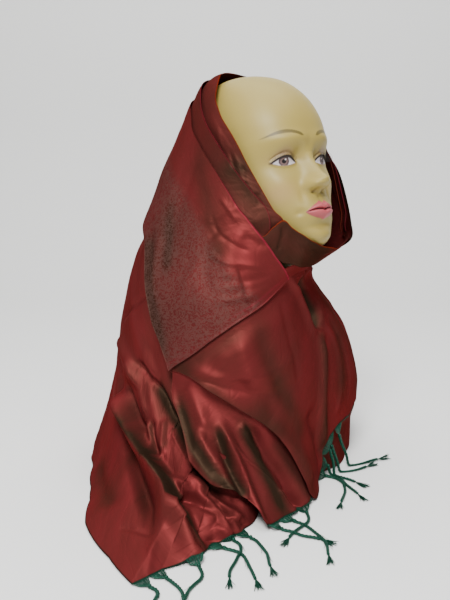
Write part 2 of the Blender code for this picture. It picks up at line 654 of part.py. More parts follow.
def head_points(angles, steps):
    """The head's surface: rings from the crown down, turned to the head's tilt."""
    up, front, back, half, power = columns(HEAD, HEAD_COLUMNS, steps)
    across, forward = oval(front, back, half, power, angles[None])
    up = up + 0 * across
    for row in FACE:
        mark = dict(zip(FACE_COLUMNS, row))
        for side in ((1,) if mark["across"] == 0 else (1, -1)):
            off = ((across - side * mark["across"]) / mark["half_across"]) ** 2
            off += ((up - mark["up"]) / mark["half_up"]) ** 2
            forward = forward + mark["raise"] * np.exp(-off) * (np.cos(angles) > 0)
    return head_place(across, forward, up)


def head_place(across, forward, up):
    """From the head's own frame to the part's."""
    tilt = math.radians(HEAD_TILT)
    c, s = math.cos(tilt), math.sin(tilt)
    x0, y0, z0 = HEAD_CENTRE
    return np.stack([x0 - across, y0 - forward * c + up * s, z0 + forward * s + up * c], -1)


def make_form(mat):
    """The limbless form: a head, neck and shoulders on a flat base."""
    turn = np.linspace(0, 2 * math.pi, HEAD_SIDES, endpoint=False)
    angles = turn - FACE_DETAIL * np.sin(turn)
    head = head_points(angles, HEAD_STEPS)
    lowest = head_place(np.array(0.0), np.array(4.0), np.array(-97.0))
    highest = head_place(np.array(0.0), np.array(-5.0), np.array(139.0))
    head_obj = lofted(head, highest, lowest, "form_head", mat)

    height, front, back, half, power = columns(BUST, BUST_COLUMNS, BUST_STEPS)
    side = np.linspace(0, 2 * math.pi, BUST_SIDES, endpoint=False)[None]
    across, forward = oval(front, -back, half, power, side)
    rings = np.stack([-across, -forward, height + 0 * across], -1)
    middle = (0.0, 0.0, BASE_HEIGHT)
    bust = lofted(rings, middle, (0.0, 6.0, 345.0), "form", mat)

    join = bust.modifiers.new("join", "BOOLEAN")
    join.operation = "UNION"
    join.solver = "EXACT"
    join.object = head_obj
    head_obj.hide_render = True
    head_obj.display_type = "WIRE"
    return bust


def build():
    for obj in list(bpy.data.objects):
        bpy.data.objects.remove(obj, do_unlink=True)
    red = material("silk_rust_red", (0.32, 0.045, 0.03), 0.45)
    skin = material("form_skin", (0.62, 0.5, 0.3), 0.55)
    make_form(skin)
    make_hood(red)
    make_pleats((red, red))
    make_chin_band(red)
    make_under_end(red)
    green = material("silk_fringe_green", (0.005, 0.13, 0.06), 0.6)
    fringe("fringe_back", *make_back_drape(red), 2, 10, BACK_TASSELS, green)
    fringe("fringe_end", *make_near_end(red), 0, 15, END_TASSELS, green)
    fringe("fringe_wrap", *make_front_wrap(red), 14, 26, WRAP_TASSELS, green)


build()
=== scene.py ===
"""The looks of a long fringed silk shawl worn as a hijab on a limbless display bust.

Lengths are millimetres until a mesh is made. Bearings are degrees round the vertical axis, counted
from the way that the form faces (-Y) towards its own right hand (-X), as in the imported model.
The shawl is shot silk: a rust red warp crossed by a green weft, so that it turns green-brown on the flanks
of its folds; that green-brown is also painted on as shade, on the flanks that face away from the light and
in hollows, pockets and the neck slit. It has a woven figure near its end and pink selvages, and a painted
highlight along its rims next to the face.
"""
import math

import bmesh
import bpy
import numpy as np
from mathutils import Matrix, Vector


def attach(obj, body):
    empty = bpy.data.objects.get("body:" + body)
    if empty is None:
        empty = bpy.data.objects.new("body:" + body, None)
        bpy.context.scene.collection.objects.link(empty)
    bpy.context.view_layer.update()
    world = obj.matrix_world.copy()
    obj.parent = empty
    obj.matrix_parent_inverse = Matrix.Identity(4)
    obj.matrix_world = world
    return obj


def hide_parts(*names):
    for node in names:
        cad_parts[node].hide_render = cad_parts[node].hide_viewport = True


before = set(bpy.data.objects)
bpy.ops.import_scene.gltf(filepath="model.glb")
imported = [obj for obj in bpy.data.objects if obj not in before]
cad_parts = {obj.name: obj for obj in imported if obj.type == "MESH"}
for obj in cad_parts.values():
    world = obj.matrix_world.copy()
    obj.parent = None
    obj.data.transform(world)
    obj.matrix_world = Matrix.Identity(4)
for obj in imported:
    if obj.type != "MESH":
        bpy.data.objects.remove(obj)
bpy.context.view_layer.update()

MM = 0.001

# Driving sizes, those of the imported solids
WALL = 1.2            # thickness of the solid cloth's wall
SILK = 0.45           # thickness that the silk shows at its edges
LAYER = 3.6           # from one layer's face to the next where they overlap
UNDERLAP = 24.0       # how far a layer runs on under the one that covers it
ROW_STEP = 36.0       # about how far apart the rows of the drape's table lie on the cloth
SEAT = 0.6            # between a layer and the one that it rests on
LIFT = 0.5            # the lowest cloth above the standing surface
HEAD_CENTRE = (0.0, -15.0, 352.0)
HEAD_TILT = 14.7      # the chin is raised by this, degrees
FOLD_REACH = 2.6      # how far a fold is felt from its line, in half widths
FOLD_FADE = 0.2       # the share of its length over which a fold fades out at an end
HEM_TOP = 8.0         # a fold that ends below this height runs out over the hem,
HEM_SHARE = 0.6       # where this share of it is left
FLANK_GREEN_AND_SHADE = 0.45    # how much more green-brown goes on a fold's right flank: the green weft, and painted shade where that flank faces away from the light
SELVAGE = 0.9         # half width of the pink selvages
FACE_RIM = 0.6        # half width of the painted highlights on the rims next to the face
HEM_LINE = 1.3        # half width of the green line on a fringed hem
FIGURE = (44, 62)     # where the woven figure sets in and is whole, from the hood's selvage
FOOT_LINES = (1.6, 7.0)  # two lines of the weave along the hood's foot, from its edge


# The smooth drape: its reach from the vertical axis in eight directions, a row per height
DRAPE_COLUMNS = ("height", "front", "front_right", "right", "back_right",
                 "back", "back_left", "left", "front_left")
DRAPE = (
    (497, 0, 0, 0, 0, 0, 0, 0, 0),
    (493, 28, 27, 28, 33, 36, 33, 28, 27),
    (482, 54, 52, 52, 59, 65, 60, 52, 52),
    (461, 78, 74, 71, 77, 86, 78, 71, 74),
    (428, 99, 93, 86, 91, 100, 91, 85, 93),
    (390, 110, 103, 96, 103, 108, 101, 94, 107),
    (350, 118, 112, 108, 117, 112, 106, 100, 116),
    (310, 128, 124, 124, 133, 116, 112, 103, 124),
    (285, 121, 132, 134, 141, 118, 115, 99, 124),
    (262, 104, 140, 145, 148, 121, 118, 94, 91),
    (238, 86, 149, 155, 156, 124, 122, 93, 70),
    (212, 93, 158, 163, 162, 127, 129, 103, 80),
    (182, 107, 167, 171, 168, 129, 138, 127, 101),
    (150, 122, 176, 177, 173, 132, 149, 148, 120),
    (110, 131, 181, 182, 176, 136, 156, 158, 133),
    (70, 131, 185, 187, 182, 141, 159, 162, 133),
    (40, 131, 188, 192, 190, 145, 161, 164, 131),
    (20, 132, 190, 196, 196, 148, 162, 165, 131),
    (8, 132, 192, 199, 199, 150, 163, 165, 131),
    (1, 133, 193, 201, 201, 152, 164, 165, 131),
)
HEIGHTS = np.array(DRAPE, float)[:, DRAPE_COLUMNS.index("height")]
REACHES = np.array(DRAPE, float)[:, DRAPE_COLUMNS.index("front"):]
SECTOR = 360.0 / REACHES.shape[1]      # from one direction of the table to the next, degrees
LAST_LEVEL = len(DRAPE) - 1.001        # the drape's foot, as a fractional row

# Where the cloth's edge lies on the surface: rows of (bearing, reach)
TRAIL_HEIGHT = 150.0   # below this the cloth spreads towards its edge
TRAIL_POWER = 3.0
BACK_HEM = ((30, 180), (36.5, 196), (38.5, 225), (41, 242), (43, 250), (45.5, 259), (49.8, 288),
            (52.2, 321), (56.2, 345), (58.9, 380), (66.3, 344), (79, 300), (88, 260), (95, 241),
            (110, 218), (130, 204), (150, 176), (180, 156), (220, 163), (265, 166))
FRONT_HEM = ((-152, 168), (-42, 131), (-0.8, 135), (5.6, 139), (14, 172), (21.9, 204), (31.8, 221),
             (37.2, 240), (43, 252), (45.5, 262), (49.8, 290), (52.2, 322), (56.2, 345), (58.9, 380),
             (70, 330), (88, 258))


def cubic(before, start, end, after, f):
    """Catmull-Rom between start and end."""
    bend = 3 * (start - end) + after - before
    return start + 0.5 * f * (end - before + f * (2 * before - 5 * start + 4 * end - after + f * bend))


def through(rows, x):
    """Smooth value through equally spaced rows at a fractional row number; rows may be vectors."""
    rows = np.asarray(rows, float)
    x = np.clip(np.asarray(x, float), 0, len(rows) - 1)
    i = np.minimum(x.astype(int), len(rows) - 2)
    f = x - i
    if rows.ndim > 1:
        f = f[..., None]
    first = 2 * rows[0] - rows[1]
    last = 2 * rows[-1] - rows[-2]
    padded = np.concatenate([first[None], rows, last[None]])
    return cubic(padded[i], padded[i + 1], padded[i + 2], padded[i + 3], f)


def ring(bearing, level):
    """Reach of one row of DRAPE at a bearing. A negative level mirrors across the crown."""
    flip = level < 0
    row = REACHES[np.minimum(np.abs(level), len(REACHES) - 1)]
    k = np.where(flip, np.asarray(bearing) + 180.0, bearing) / SECTOR
    i = np.floor(k).astype(int)
    sectors = REACHES.shape[1]
    take = [np.take_along_axis(row, ((i + j) % sectors)[..., None], -1)[..., 0] for j in (-1, 0, 1, 2)]
    reach = cubic(*take, k - i)
    return np.where(flip, -reach, reach)


def drape(bearing, level):
    """Reach and height of the smooth drape at a bearing and a fractional row of DRAPE."""
    bearing, level = np.broadcast_arrays(np.asarray(bearing, float), np.asarray(level, float))
    i = np.minimum(np.floor(level).astype(int), len(DRAPE) - 2)
    f = level - i
    reach = cubic(*[ring(bearing, i + j) for j in (-1, 0, 1, 2)], f)
    heights = [HEIGHTS[np.minimum(np.abs(i + j), len(DRAPE) - 1)] for j in (-1, 0, 1, 2)]
    return np.maximum(reach, 0.0), cubic(*heights, f)


FINE_LEVELS = np.linspace(0, LAST_LEVEL, 900)
FINE_HEIGHTS = drape(0 * FINE_LEVELS, FINE_LEVELS)[1]


def level_of(height):
    """The fractional row of DRAPE at a height."""
    return np.interp(-np.asarray(height, float), -FINE_HEIGHTS, FINE_LEVELS)


def trail(bearing, height, hem):
    """How much further than the smooth drape the cloth reaches where it spreads to its hem."""
    hem = np.asarray(hem, float)
    edge = np.interp(bearing, hem[:, 0], hem[:, 1])
    close = drape(bearing, LAST_LEVEL)[0]
    return (edge - close) * np.clip(1 - np.asarray(height) / TRAIL_HEIGHT, 0, 1) ** TRAIL_POWER


def cylinder_point(bearing, reach, height):
    """A point at a bearing and a reach from the vertical axis, at a height."""
    a = np.radians(bearing)
    return np.stack([-np.sin(a) * reach, -np.cos(a) * reach, height + 0 * reach], -1)


def bearing_of(points):
    """The bearing of points, from -180 to 180 degrees."""
    return np.degrees(np.arctan2(-points[..., 0], -points[..., 1]))


def soft(low, high, x):
    """A smooth step from 0 at low to 1 at high, which may be the smaller."""
    f = np.clip((np.asarray(x, float) - low) / (high - low), 0, 1)
    return f * f * (3 - 2 * f)


def bell(x, middle, half):
    """A smooth bump of 1 at the middle, which is down to about a third at its half width."""
    return np.exp(-((x - middle) / half) ** 2)


def grid_normals(points):
    """Normals of a grid of points, outwards from the vertical axis and up."""
    down = np.gradient(points, axis=0)
    across = np.gradient(points, axis=1)
    n = np.cross(down, across)
    n /= np.linalg.norm(n, axis=-1, keepdims=True) + 1e-9
    middle = np.array([0.0, 0.0, 150.0])
    outward = ((points - middle) * n).sum(-1)
    if np.median(outward) < 0:
        n = -n
    return n


def settle(points, floor):
    """Lifts what would sink under the standing surface."""
    lifted = points.copy()
    lifted[..., 2] = np.maximum(lifted[..., 2], floor)
    return lifted


def path_fractions(points, count):
    """Equal steps along a smooth curve through points: a row per step."""
    points = np.asarray(points, float)
    fine = through(points, np.linspace(0, len(points) - 1, 40 * len(points)))
    step = np.linalg.norm(np.diff(fine[:, :2], axis=0), axis=1)
    along = np.concatenate([[0], np.cumsum(step)])
    want = np.linspace(0, along[-1], count)
    return np.stack([np.interp(want, along, fine[:, k]) for k in range(fine.shape[1])], -1)


def plan(line):
    """A line of (bearing, height) as points on the flat plan of the drape, rows apart."""
    line = np.asarray(line, float)
    level = level_of(line[:, 1])
    a = np.radians(line[:, 0])
    return np.stack([-np.sin(a) * level, -np.cos(a) * level], -1)


def from_plan(flat, hem=None):
    """Points of the smooth drape at points of its flat plan, spread towards a hem."""
    level = np.minimum(np.hypot(flat[..., 0], flat[..., 1]), LAST_LEVEL)
    bearing = bearing_of(flat)
    reach, height = drape(bearing, level)
    if hem is not None:
        turned = np.where(bearing < hem[0][0] - 1, bearing + 360, bearing)
        reach = reach + trail(turned, height, hem)
    return cylinder_point(bearing, reach, height)


# The edges over the head, as (bearing, height), from the form's right side over to its left
HOOD_FRONT = ((19.8, 250), (28.8, 277), (36.3, 301), (44.2, 322), (51.5, 339), (64, 369),
              (79.4, 396), (96, 419), (110, 440), (135, 456), (160, 463), (180, 464), (-155, 461),
              (-125, 448), (-95, 424), (-68, 396), (-50, 362), (-43, 325), (-41, 290), (-46, 258))
HOOD_BACK = ((73.5, 150), (75.3, 160), (79.2, 177), (85.2, 203), (94.5, 246), (108.6, 289),
             (124, 310), (150, 335), (180, 343), (-152, 336), (-125, 312), (-108, 280), (-96, 245),
             (-86, 215), (-80, 190))
MIDDLE_FRONT = ((32, 300), (33, 330), (42.3, 353), (53.7, 377), (64.7, 400), (76.5, 422),
                (88.2, 439), (100.1, 456), (122, 475), (150, 483), (180, 484), (-150, 479),
                (-115, 464), (-86, 436), (-64, 406), (-49, 372), (-42, 335), (-39, 300))
INNER_FRONT = ((24, 298), (24, 320), (30.1, 335), (39.7, 366), (49.6, 395), (64, 430), (72, 445),
               (79.9, 459), (90.2, 478), (120, 490), (150, 493), (180, 493), (-145, 490),
               (-108, 477), (-80, 452), (-62, 424), (-47, 386), (-39, 344), (-35, 300))


def patch(rows, cols, top, bottom, left=None, right=None):
    """A grid of plan points between four lines: rows run from top to bottom. The sides are straight
    where they aren't given."""
    left, right = left or (top[0], bottom[0]), right or (top[-1], bottom[-1])
    top, bottom = path_fractions(plan(top), cols), path_fractions(plan(bottom), cols)
    left, right = path_fractions(plan(left), rows), path_fractions(plan(right), rows)
    u = np.linspace(0, 1, cols)[None, :, None]
    v = np.linspace(0, 1, rows)[:, None, None]
    corners = ((1 - u) * (1 - v) * top[0] + u * (1 - v) * top[-1]
               + (1 - u) * v * bottom[0] + u * v * bottom[-1])
    return ((1 - v) * top[None] + v * bottom[None] + (1 - u) * left[:, None] + u * right[:, None]
            - corners)


def shift(line, turn, up):
    """A line moved round by some degrees and up by some millimetres."""
    return tuple((bearing + turn, height + up) for bearing, height in line)


# The folded edge down the right side, from the nape to its foot on the surface
EDGE_BACK = ((73.5, 150), (72.5, 133), (69.5, 114), (64.4, 89), (58, 61), (51, 43), (44.8, 30),
             (41, 16), (38, 2))
# The right lower edge of the hood, from its front edge to the corner
EDGE_HOOD = ((19.8, 250), (27, 241), (38.2, 224), (50.3, 204), (59.4, 184), (66, 168), (73.5, 150))
# The lower edge of the front wrap, from the corner to its foot, then along its hem to the left
EDGE_WRAP = ((73.5, 150), (65.5, 148), (59.4, 140), (52.3, 128), (46, 115), (41, 105), (37, 96),
             (31.3, 76), (25.5, 49), (22, 26), (19.5, 9), (16, 2))
HEM_WRAP = ((16, 2), (11, 2), (5.6, 2), (2, 14), (-1, 32), (-5, 46), (-13, 54), (-28, 59),
            (-42, 62), (-70, 64), (-100, 68), (-125, 76), (-150, 92))

# Folds: how far they stand out of the drape, their half widths to the left and to the right of
# their line seen from outside, and that line of (bearing, height)
FOLD_COLUMNS = ("name", "raise", "left", "right", "line")


def relief(points, folds):
    """Sum of ridges and troughs, which fade out at both ends but reach a hem."""
    total = np.zeros(points.shape[:-1])
    normals = grid_normals(points)
    for row in folds:
        fold = dict(zip(FOLD_COLUMNS, row))
        fine = fold_line(fold["line"])
        reach = FOLD_REACH * max(fold["left"], fold["right"])
        low, high = fine.min(0) - reach, fine.max(0) + reach
        near = ((points > low) & (points < high)).all(-1)
        if not near.any():
            continue
        here = points[near]
        closest = np.linalg.norm(here[:, None] - fine, axis=-1).argmin(-1)
        step = np.gradient(fine, axis=0)[closest]
        off = here - fine[closest]
        slide = np.clip((off * step).sum(-1) / (step * step).sum(-1), -0.5, 0.5)
        off = off - step * slide[:, None]
        along = (closest + slide) / (len(fine) - 1)
        side = (np.cross(step, off) * normals[near]).sum(-1)
        width = np.where(side > 0, fold["right"], fold["left"])
        kept = HEM_SHARE if fold["line"][-1][1] < HEM_TOP else 0
        ends = soft(0, FOLD_FADE, along) * (kept + (1 - kept) * soft(0, FOLD_FADE, 1 - along))
        total[near] += fold["raise"] * bell(np.linalg.norm(off, axis=-1), 0, width) * ends
    return total


def fold_line(line, count=60):
    """Points of a fold's line, given as (bearing, height), on the drape. A line that starts or ends
    far enough round lies on the back drape, which spreads towards its own hem."""
    on_the_back = line[0][0] > 60 or line[-1][0] > 40
    return from_plan(path_fractions(plan(line), count), BACK_HEM if on_the_back else FRONT_HEM)


def add_mesh(name, points, faces, mat, uv=None, fields=None):
    """A mesh object from points in millimetres, with a UV in metres and named values per point."""
    mesh = bpy.data.meshes.new(name)
    mesh.from_pydata((np.asarray(points) * MM).tolist(), [], [list(face) for face in faces])
    if uv is not None:
        corners = np.empty(len(mesh.loops), np.int32)
        mesh.loops.foreach_get("vertex_index", corners)
        layer = mesh.uv_layers.new(name="weave")
        layer.data.foreach_set("uv", (np.asarray(uv)[corners] * MM).astype(np.float32).ravel())
    for field, values in (fields or {}).items():
        kind = "FLOAT_COLOR" if np.ndim(values) == 2 else "FLOAT"
        attribute = mesh.attributes.new(field, kind, "POINT")
        attribute.data.foreach_set("color" if kind == "FLOAT_COLOR" else "value",
                                   np.asarray(values, np.float32).ravel())
    mesh.materials.append(mat)
    mesh.shade_smooth()
    obj = bpy.data.objects.new(name, mesh)
    bpy.context.scene.collection.objects.link(obj)
    return obj


def grid_faces(rows, cols, start=0, flip=False):
    """The quads between the points of a grid."""
    i, j = np.meshgrid(np.arange(rows - 1), np.arange(cols - 1), indexing="ij")
    a = start + (i * cols + j).ravel()
    quads = np.stack([a, a + 1, a + cols + 1, a + cols], -1)
    return quads[:, ::-1] if flip else quads


def cloth_uv(points):
    """Millimetres on the flat silk: across its rows and along its columns."""
    down = np.linalg.norm(np.diff(points, axis=0), axis=-1)
    along = np.linalg.norm(np.diff(points, axis=1), axis=-1)
    v = np.concatenate([np.zeros((1, points.shape[1])), np.cumsum(down, 0)])
    u = np.concatenate([np.zeros((points.shape[0], 1)), np.cumsum(along, 1)], axis=1)
    return np.stack([u, v], -1)


def flank_weft_and_shade(outer, base):
    """1 where a fold turns the silk to the right, away from the light, else 0: there the green weft shows,
    and its green-brown is painted shade as well.
    """
    a = np.radians(bearing_of(base))
    to_right = np.stack([np.cos(a), -np.sin(a), 0 * a], -1)
    return soft(0.25, 0.9, ((grid_normals(outer) - grid_normals(base)) * to_right).sum(-1))


def silk_shell(name, base, raised, mat, fields):
    """A thin closed shell of silk whose outer face is that of its solid. With it come the points of
    its lower edge and the way on from them, for a fringe."""
    outer = base + grid_normals(base) * raised[..., None]
    outer = settle(outer, LIFT + WALL * 0.98)
    normals = grid_normals(outer)
    inner = settle(outer - normals * SILK, LIFT + WALL - SILK)
    # The flanks that face away from the light get painted green-brown shade, besides the weft's green
    fields = {**fields, "turn": fields["turn"] + FLANK_GREEN_AND_SHADE * flank_weft_and_shade(outer, base)}
    rows, cols = outer.shape[:2]
    size = rows * cols
    way = np.cross(outer[1, 0] - outer[0, 0], outer[0, 1] - outer[0, 0]) @ normals[0, 0] > 0
    faces = [grid_faces(rows, cols, 0, way), grid_faces(rows, cols, size, not way)]
    places = np.arange(size).reshape(rows, cols)
    rim = np.concatenate([places[0], places[1:, -1], places[-1, -2::-1], places[-2:0:-1, 0]])
    ahead = np.roll(rim, -1)
    edge = np.stack([rim, rim + size, ahead + size, ahead], -1)
    faces.append(edge if way else edge[:, ::-1])
    points = np.concatenate([outer.reshape(-1, 3), inner.reshape(-1, 3)])
    both = {key: np.tile(np.broadcast_to(value, (rows, cols)).ravel(), 2)
            for key, value in fields.items()}
    uv = np.tile(cloth_uv(base).reshape(-1, 2), (2, 1))
    obj = add_mesh("silk_" + name, points, np.concatenate(faces), mat, uv, both)
    return obj, (outer[-1] + inner[-1]) / 2, outer[-1] - outer[-2]


# The creases of each stretch of cloth, in the columns of a fold
HOOD_FOLDS = (
    ("crease from the notch", -1.1, 3, 6, ((33, 292), (40, 296), (47, 306))),
    ("soft roll of the cheek", 1.8, 11, 9, ((44, 318), (52, 290), (52, 262), (46, 240))),
    ("hollow beside it", -1.4, 9, 9, ((54, 330), (64, 298), (64, 262), (58, 232))),
    ("drag line 1", -1.1, 5, 3, ((28, 262), (42, 254), (58, 250))),
    ("drag line 2", 1.1, 6, 3, ((25, 250), (40, 238), (58, 226))),
    ("crinkle 1", 1.1, 2, 4, ((62, 344), (55, 330), (50, 316))),
    ("crinkle 2", -1.0, 3, 2, ((66, 330), (60, 306), (50, 292), (42, 286))),
    ("crinkle 3", 1.0, 2, 4, ((64, 282), (54, 272), (44, 270), (36, 266))),
    ("upright crease", -1.6, 2.5, 5, ((48.5, 272), (45.5, 250), (43.8, 232))),
    ("pinch at its foot", -1.9, 3, 3, ((44, 234), (42.5, 230), (41, 227))),
    ("crease across the cheek", 1.2, 3, 4, ((69, 313), (59, 327), (48, 334))),
    ("second crease across it", -1.0, 3, 4, ((66, 298), (57, 310), (47, 318))),
    ("soft drag across the cheek", 1.3, 6, 8, ((52, 322), (62, 296), (70, 262), (74, 230))),
    ("crown crease", -1.4, 5, 8, ((84, 392), (88, 360), (90, 320), (92, 280))),
    ("rear roll", 1.9, 12, 7, ((100, 404), (100, 360), (98, 300), (90, 240), (84, 214))),
    ("fold beside the rear edge", -1.6, 6, 6, ((106, 312), (97, 269), (88, 226), (81, 190))),
    ("nape crease", -1.4, 8, 8, ((128, 420), (122, 380), (114, 330))),
    ("far crease", -1.4, 9, 9, ((-128, 420), (-112, 370), (-98, 310), (-88, 250))),
    ("far roll", 1.8, 12, 12, ((-92, 400), (-80, 350), (-72, 290), (-66, 250))),
    ("back of the crown", -1.6, 12, 12, ((178, 440), (176, 400), (172, 360))),
    ("back of the crown, left", 1.3, 10, 7, ((-158, 440), (-160, 400), (-164, 356))),
    ("back of the crown, right", 1.3, 7, 10, ((150, 440), (152, 396), (156, 350))),
)
PLEAT_FOLDS = (
    ("cross crease 1", -1.4, 2.2, 3.5, ((60, 402), (56, 384), (54, 378))),
    ("cross crease 2", -1.2, 2.2, 3.0, ((50, 382), (47, 366))),
    ("cross crease 3", -1.2, 2.2, 3.5, ((40, 352), (38, 336))),
    ("cross crease 4", 1.0, 3, 2, ((70, 424), (66, 408), (64, 400))),
    ("roll along the pleat", 0.9, 6, 3, ((84, 444), (66, 416), (54, 388), (44, 360), (36, 338))),
)
BAND_FOLDS = (
    ("fold to the notch", -1.8, 2.5, 5, ((25, 318), (26, 300), (28, 284))),
    ("long soft crease", -0.9, 4, 4, ((18, 292), (6, 280), (-8, 273), (-24, 272))),
    ("roll under the chin", 1.0, 5, 7, ((22, 300), (8, 288), (-8, 279), (-22, 277))),
)
BACK_CREASES = (
    ("edge of the fold from the shoulder", 4, 8, 2.5,
     ((98, 150), (88, 138), (80.5, 120), (76, 106), (70, 93), (66, 79), (62, 68))),
    ("line beside it", -5.0, 2.5, 5,
     ((97, 149), (86.5, 135), (79, 117), (74.2, 103), (68.6, 91), (64.6, 78), (60.6, 66))),
    ("thin light crease", 1.6, 2, 2, ((71.5, 88), (66.5, 77), (61.5, 67))),
    ("lit rim of the pocket", 4.5, 4, 5, ((99, 155), (95, 142), (90.4, 126), (84.6, 104), (80.4, 90))),
    ("dark line by the outline", -4, 5, 5, ((112, 118), (108, 104), (104, 90))),
    ("small loop", 4, 4, 3, ((80.6, 92), (79.2, 82), (76.8, 72), (73, 62))),
    ("loop's dark side", -5, 3, 4, ((79.2, 94), (77.4, 81), (74.8, 70), (72, 61))),
    ("loop's far side", 3, 3, 4, ((75.4, 98), (73, 82), (70.4, 65))),
    ("low left hollow", -3.5, 10, 9, ((102, 16), (92, 14), (82, 17), (73, 21))),
    ("crease on the spread end", -1.2, 3, 5, ((69, 13), (64, 17.5), (60, 21))),
    ("crease to the corner", 1.4, 3, 5, ((59.5, 21), (58.6, 12), (57.8, 4))),
    ("ridge towards the corner", 6, 7, 5, ((60, 60), (56, 51), (51, 36), (46, 20.7), (41.5, 8))),
    ("valley beside it", -5, 4, 5, ((55, 48), (51.6, 38), (48.8, 25), (46, 12))),
    ("hem gather 1", 3.0, 4, 3.5, ((54, 22), (52, 11), (50.6, 3))),
    ("hem gather 2", -3.0, 3.5, 3.5, ((52.6, 20), (50.6, 9), (49.2, 3))),
    ("hem gather 3", 3.0, 4, 3.5, ((50.2, 16), (48.4, 8), (47.2, 3))),
    ("hem gather 4", -3.0, 3.5, 3.5, ((48.4, 18), (46.6, 9), (45.4, 3))),
    ("hem gather 5", 3.0, 4, 3.5, ((46.2, 16), (44.6, 8), (43.6, 3))),
    ("hem gather 6", -3.0, 3.5, 3.5, ((44, 14), (42.6, 8), (41.6, 3))),
    ("back crease", -2.0, 4, 6, ((164, 300), (150, 262), (140, 214))),
    ("second back crease", 2.0, 6, 4, ((198, 300), (190, 250), (176, 200))),
)
WRAP_CREASES = (
    ("drag from the corner 1", 1.6, 5, 8, ((70, 156), (54, 150), (36, 150), (18, 160))),
    ("drag from the corner 2", -1.4, 5, 5, ((68, 150), (52, 138), (34, 130), (16, 130))),
    ("chest hollow", -3.0, 9, 12, ((38, 206), (36, 174), (31, 140), (26, 106))),
    ("chest roll", 3.0, 9, 11, ((47, 200), (44, 166), (40, 132), (34, 100))),
    ("front panel's edge", 2.4, 5, 2.5, ((18, 252), (12, 238), (6.5, 221), (1.5, 202), (-1.5, 184))),
    ("shallow crease", -1.6, 5, 7, ((26, 232), (24, 196), (21, 158), (20, 120))),
    ("throat fold 1", -2.0, 3, 5, ((-6, 250), (-14, 232), (-22, 214))),
    ("throat fold 2", 2.0, 5, 4, ((-12, 250), (-24, 234), (-36, 222))),
    ("far drag 1", 2.0, 6, 6, ((-30, 196), (-26, 150), (-20, 104), (-14, 66))),
    ("far drag 2", -2.0, 6, 6, ((-42, 196), (-38, 150), (-32, 100), (-28, 70))),
    ("far drag 3", 2.0, 7, 6, ((-66, 230), (-76, 180), (-78, 120), (-72, 76))),
)
END_CREASES = (
    ("thin light crease", 1.8, 2, 2.5, ((50, 92), (43, 62), (34, 34), (29, 8))),
    ("olive hollow", -4.0, 6, 6, ((54.5, 104), (51, 76), (47.5, 48), (43.5, 24))),
    ("ridge below the corner", 3.0, 7, 8, ((67, 140), (60, 112), (55.5, 88))),
    ("hollow along the edge", -2.5, 6, 6, ((71.5, 132), (65, 98), (58, 68), (50.5, 42), (44, 20))),
    ("small fold under the lip", 3.0, 4, 4, ((46, 100), (40, 78), (36, 60))),
    ("fold at the foot", 3.0, 5, 4, ((33, 30), (29.5, 16), (27, 3))),
    ("second fold at the foot", -3.0, 4, 4, ((30.5, 30), (26.8, 16), (24, 3))),
)
# Green-brown stripes, partly the weft's green and partly painted shade in hollows, pockets, under lips and
# in the neck slit: how strong, their half widths, and their line
HOOD_WEFT_AND_SHADE = (
    ("far rim", 0.9, 9, 9, ((-47, 256), (-42, 290), (-44, 325), (-52, 362), (-70, 396))),
    ("along the selvage", 0.5, 8, 8, ((30, 292), (38, 318), (50, 350), (66, 384), (84, 412))),
    ("rear edge", 0.95, 10, 10, ((74, 150), (80, 185), (88, 225), (98, 270), (108, 300))),
    ("beside the rear roll", 0.6, 8, 8, ((101, 350), (92, 304), (83, 249))),
    ("figured ground", 0.2, 34, 34, ((68, 180), (76, 230), (84, 290), (92, 350))),
    ("hollow under the crown", 0.4, 14, 14, ((84, 420), (80, 380), (70, 340), (62, 300), (56, 266))),
)
PLEAT_SHADES = (("beside the cheek", 0.4, 26, 26, ((32, 300), (38, 330), (48, 360), (60, 400))),)
BACK_WEFT_AND_SHADE = (
    ("beside the edge", 0.9, 7, 9,
     ((78, 165), (71.6, 133), (65.6, 99), (61, 82), (57, 66), (52, 50), (46, 32))),
    ("below the shoulder's crease", 0.85, 4, 10, ((84, 132), (77.5, 114), (72.5, 100), (67, 88), (63, 75))),
    ("in the pocket", 0.25, 6, 6, ((97, 108), (91, 94), (85, 82), (79, 70))),
    ("behind the ridge", 0.35, 6, 4,
     ((104, 84), (95, 66), (85, 54), (76, 45), (69, 36), (63, 26), (58.5, 12))),
    ("on the ridge's near side", 0.85, 3, 4,
     ((97, 88), (88, 76), (80, 66), (73, 57), (67, 49.5), (60.6, 42), (56, 29), (52.6, 14), (50.8, 4))),
    ("beside the ridge", 0.3, 3.5, 4, ((77, 66), (72, 59), (65.5, 50), (60, 43), (56.5, 31), (53.5, 17))),
    ("spread end", 0.45, 12, 14, ((104, 22), (92, 15), (80, 18), (73, 21))),
    ("back 1", 0.3, 22, 22, ((146, 300), (142, 200), (140, 110), (134, 4))),
    ("back 2", 0.3, 22, 22, ((178, 300), (176, 200), (174, 110), (170, 4))),
)
WRAP_WEFT_AND_SHADE = (
    ("below the hood's edge", 0.4, 11, 14, ((78, 152), (66, 164), (58, 176), (50, 192), (42, 206))),
    ("chest hollow", 0.45, 13, 13, ((41, 222), (38, 200), (35, 172), (30, 137), (24, 100), (18, 56))),
    ("neck slit", 1.3, 10, 9, ((-8, 244), (-15, 230), (-21, 214), (-22, 200), (-18, 189), (-13, 181))),
    ("below the corner", 0.55, 12, 12, ((76, 160), (64, 142), (54, 126), (46, 108), (38, 88), (30, 64))),
    ("towards the foot", 0.4, 12, 12, ((44, 134), (36, 104), (27, 72), (21, 36), (17, 4))),
    ("chest", 0.6, 7, 8, ((-10, 190), (-7, 162), (-2, 135), (2, 102), (0, 63), (-2, 20))),
    ("far side of the chest", 0.4, 13, 13, ((-44, 190), (-34, 150), (-22, 110), (-20, 60))),
    ("far", 0.45, 16, 16, ((-64, 230), (-56, 180), (-52, 130), (-50, 70))),
)
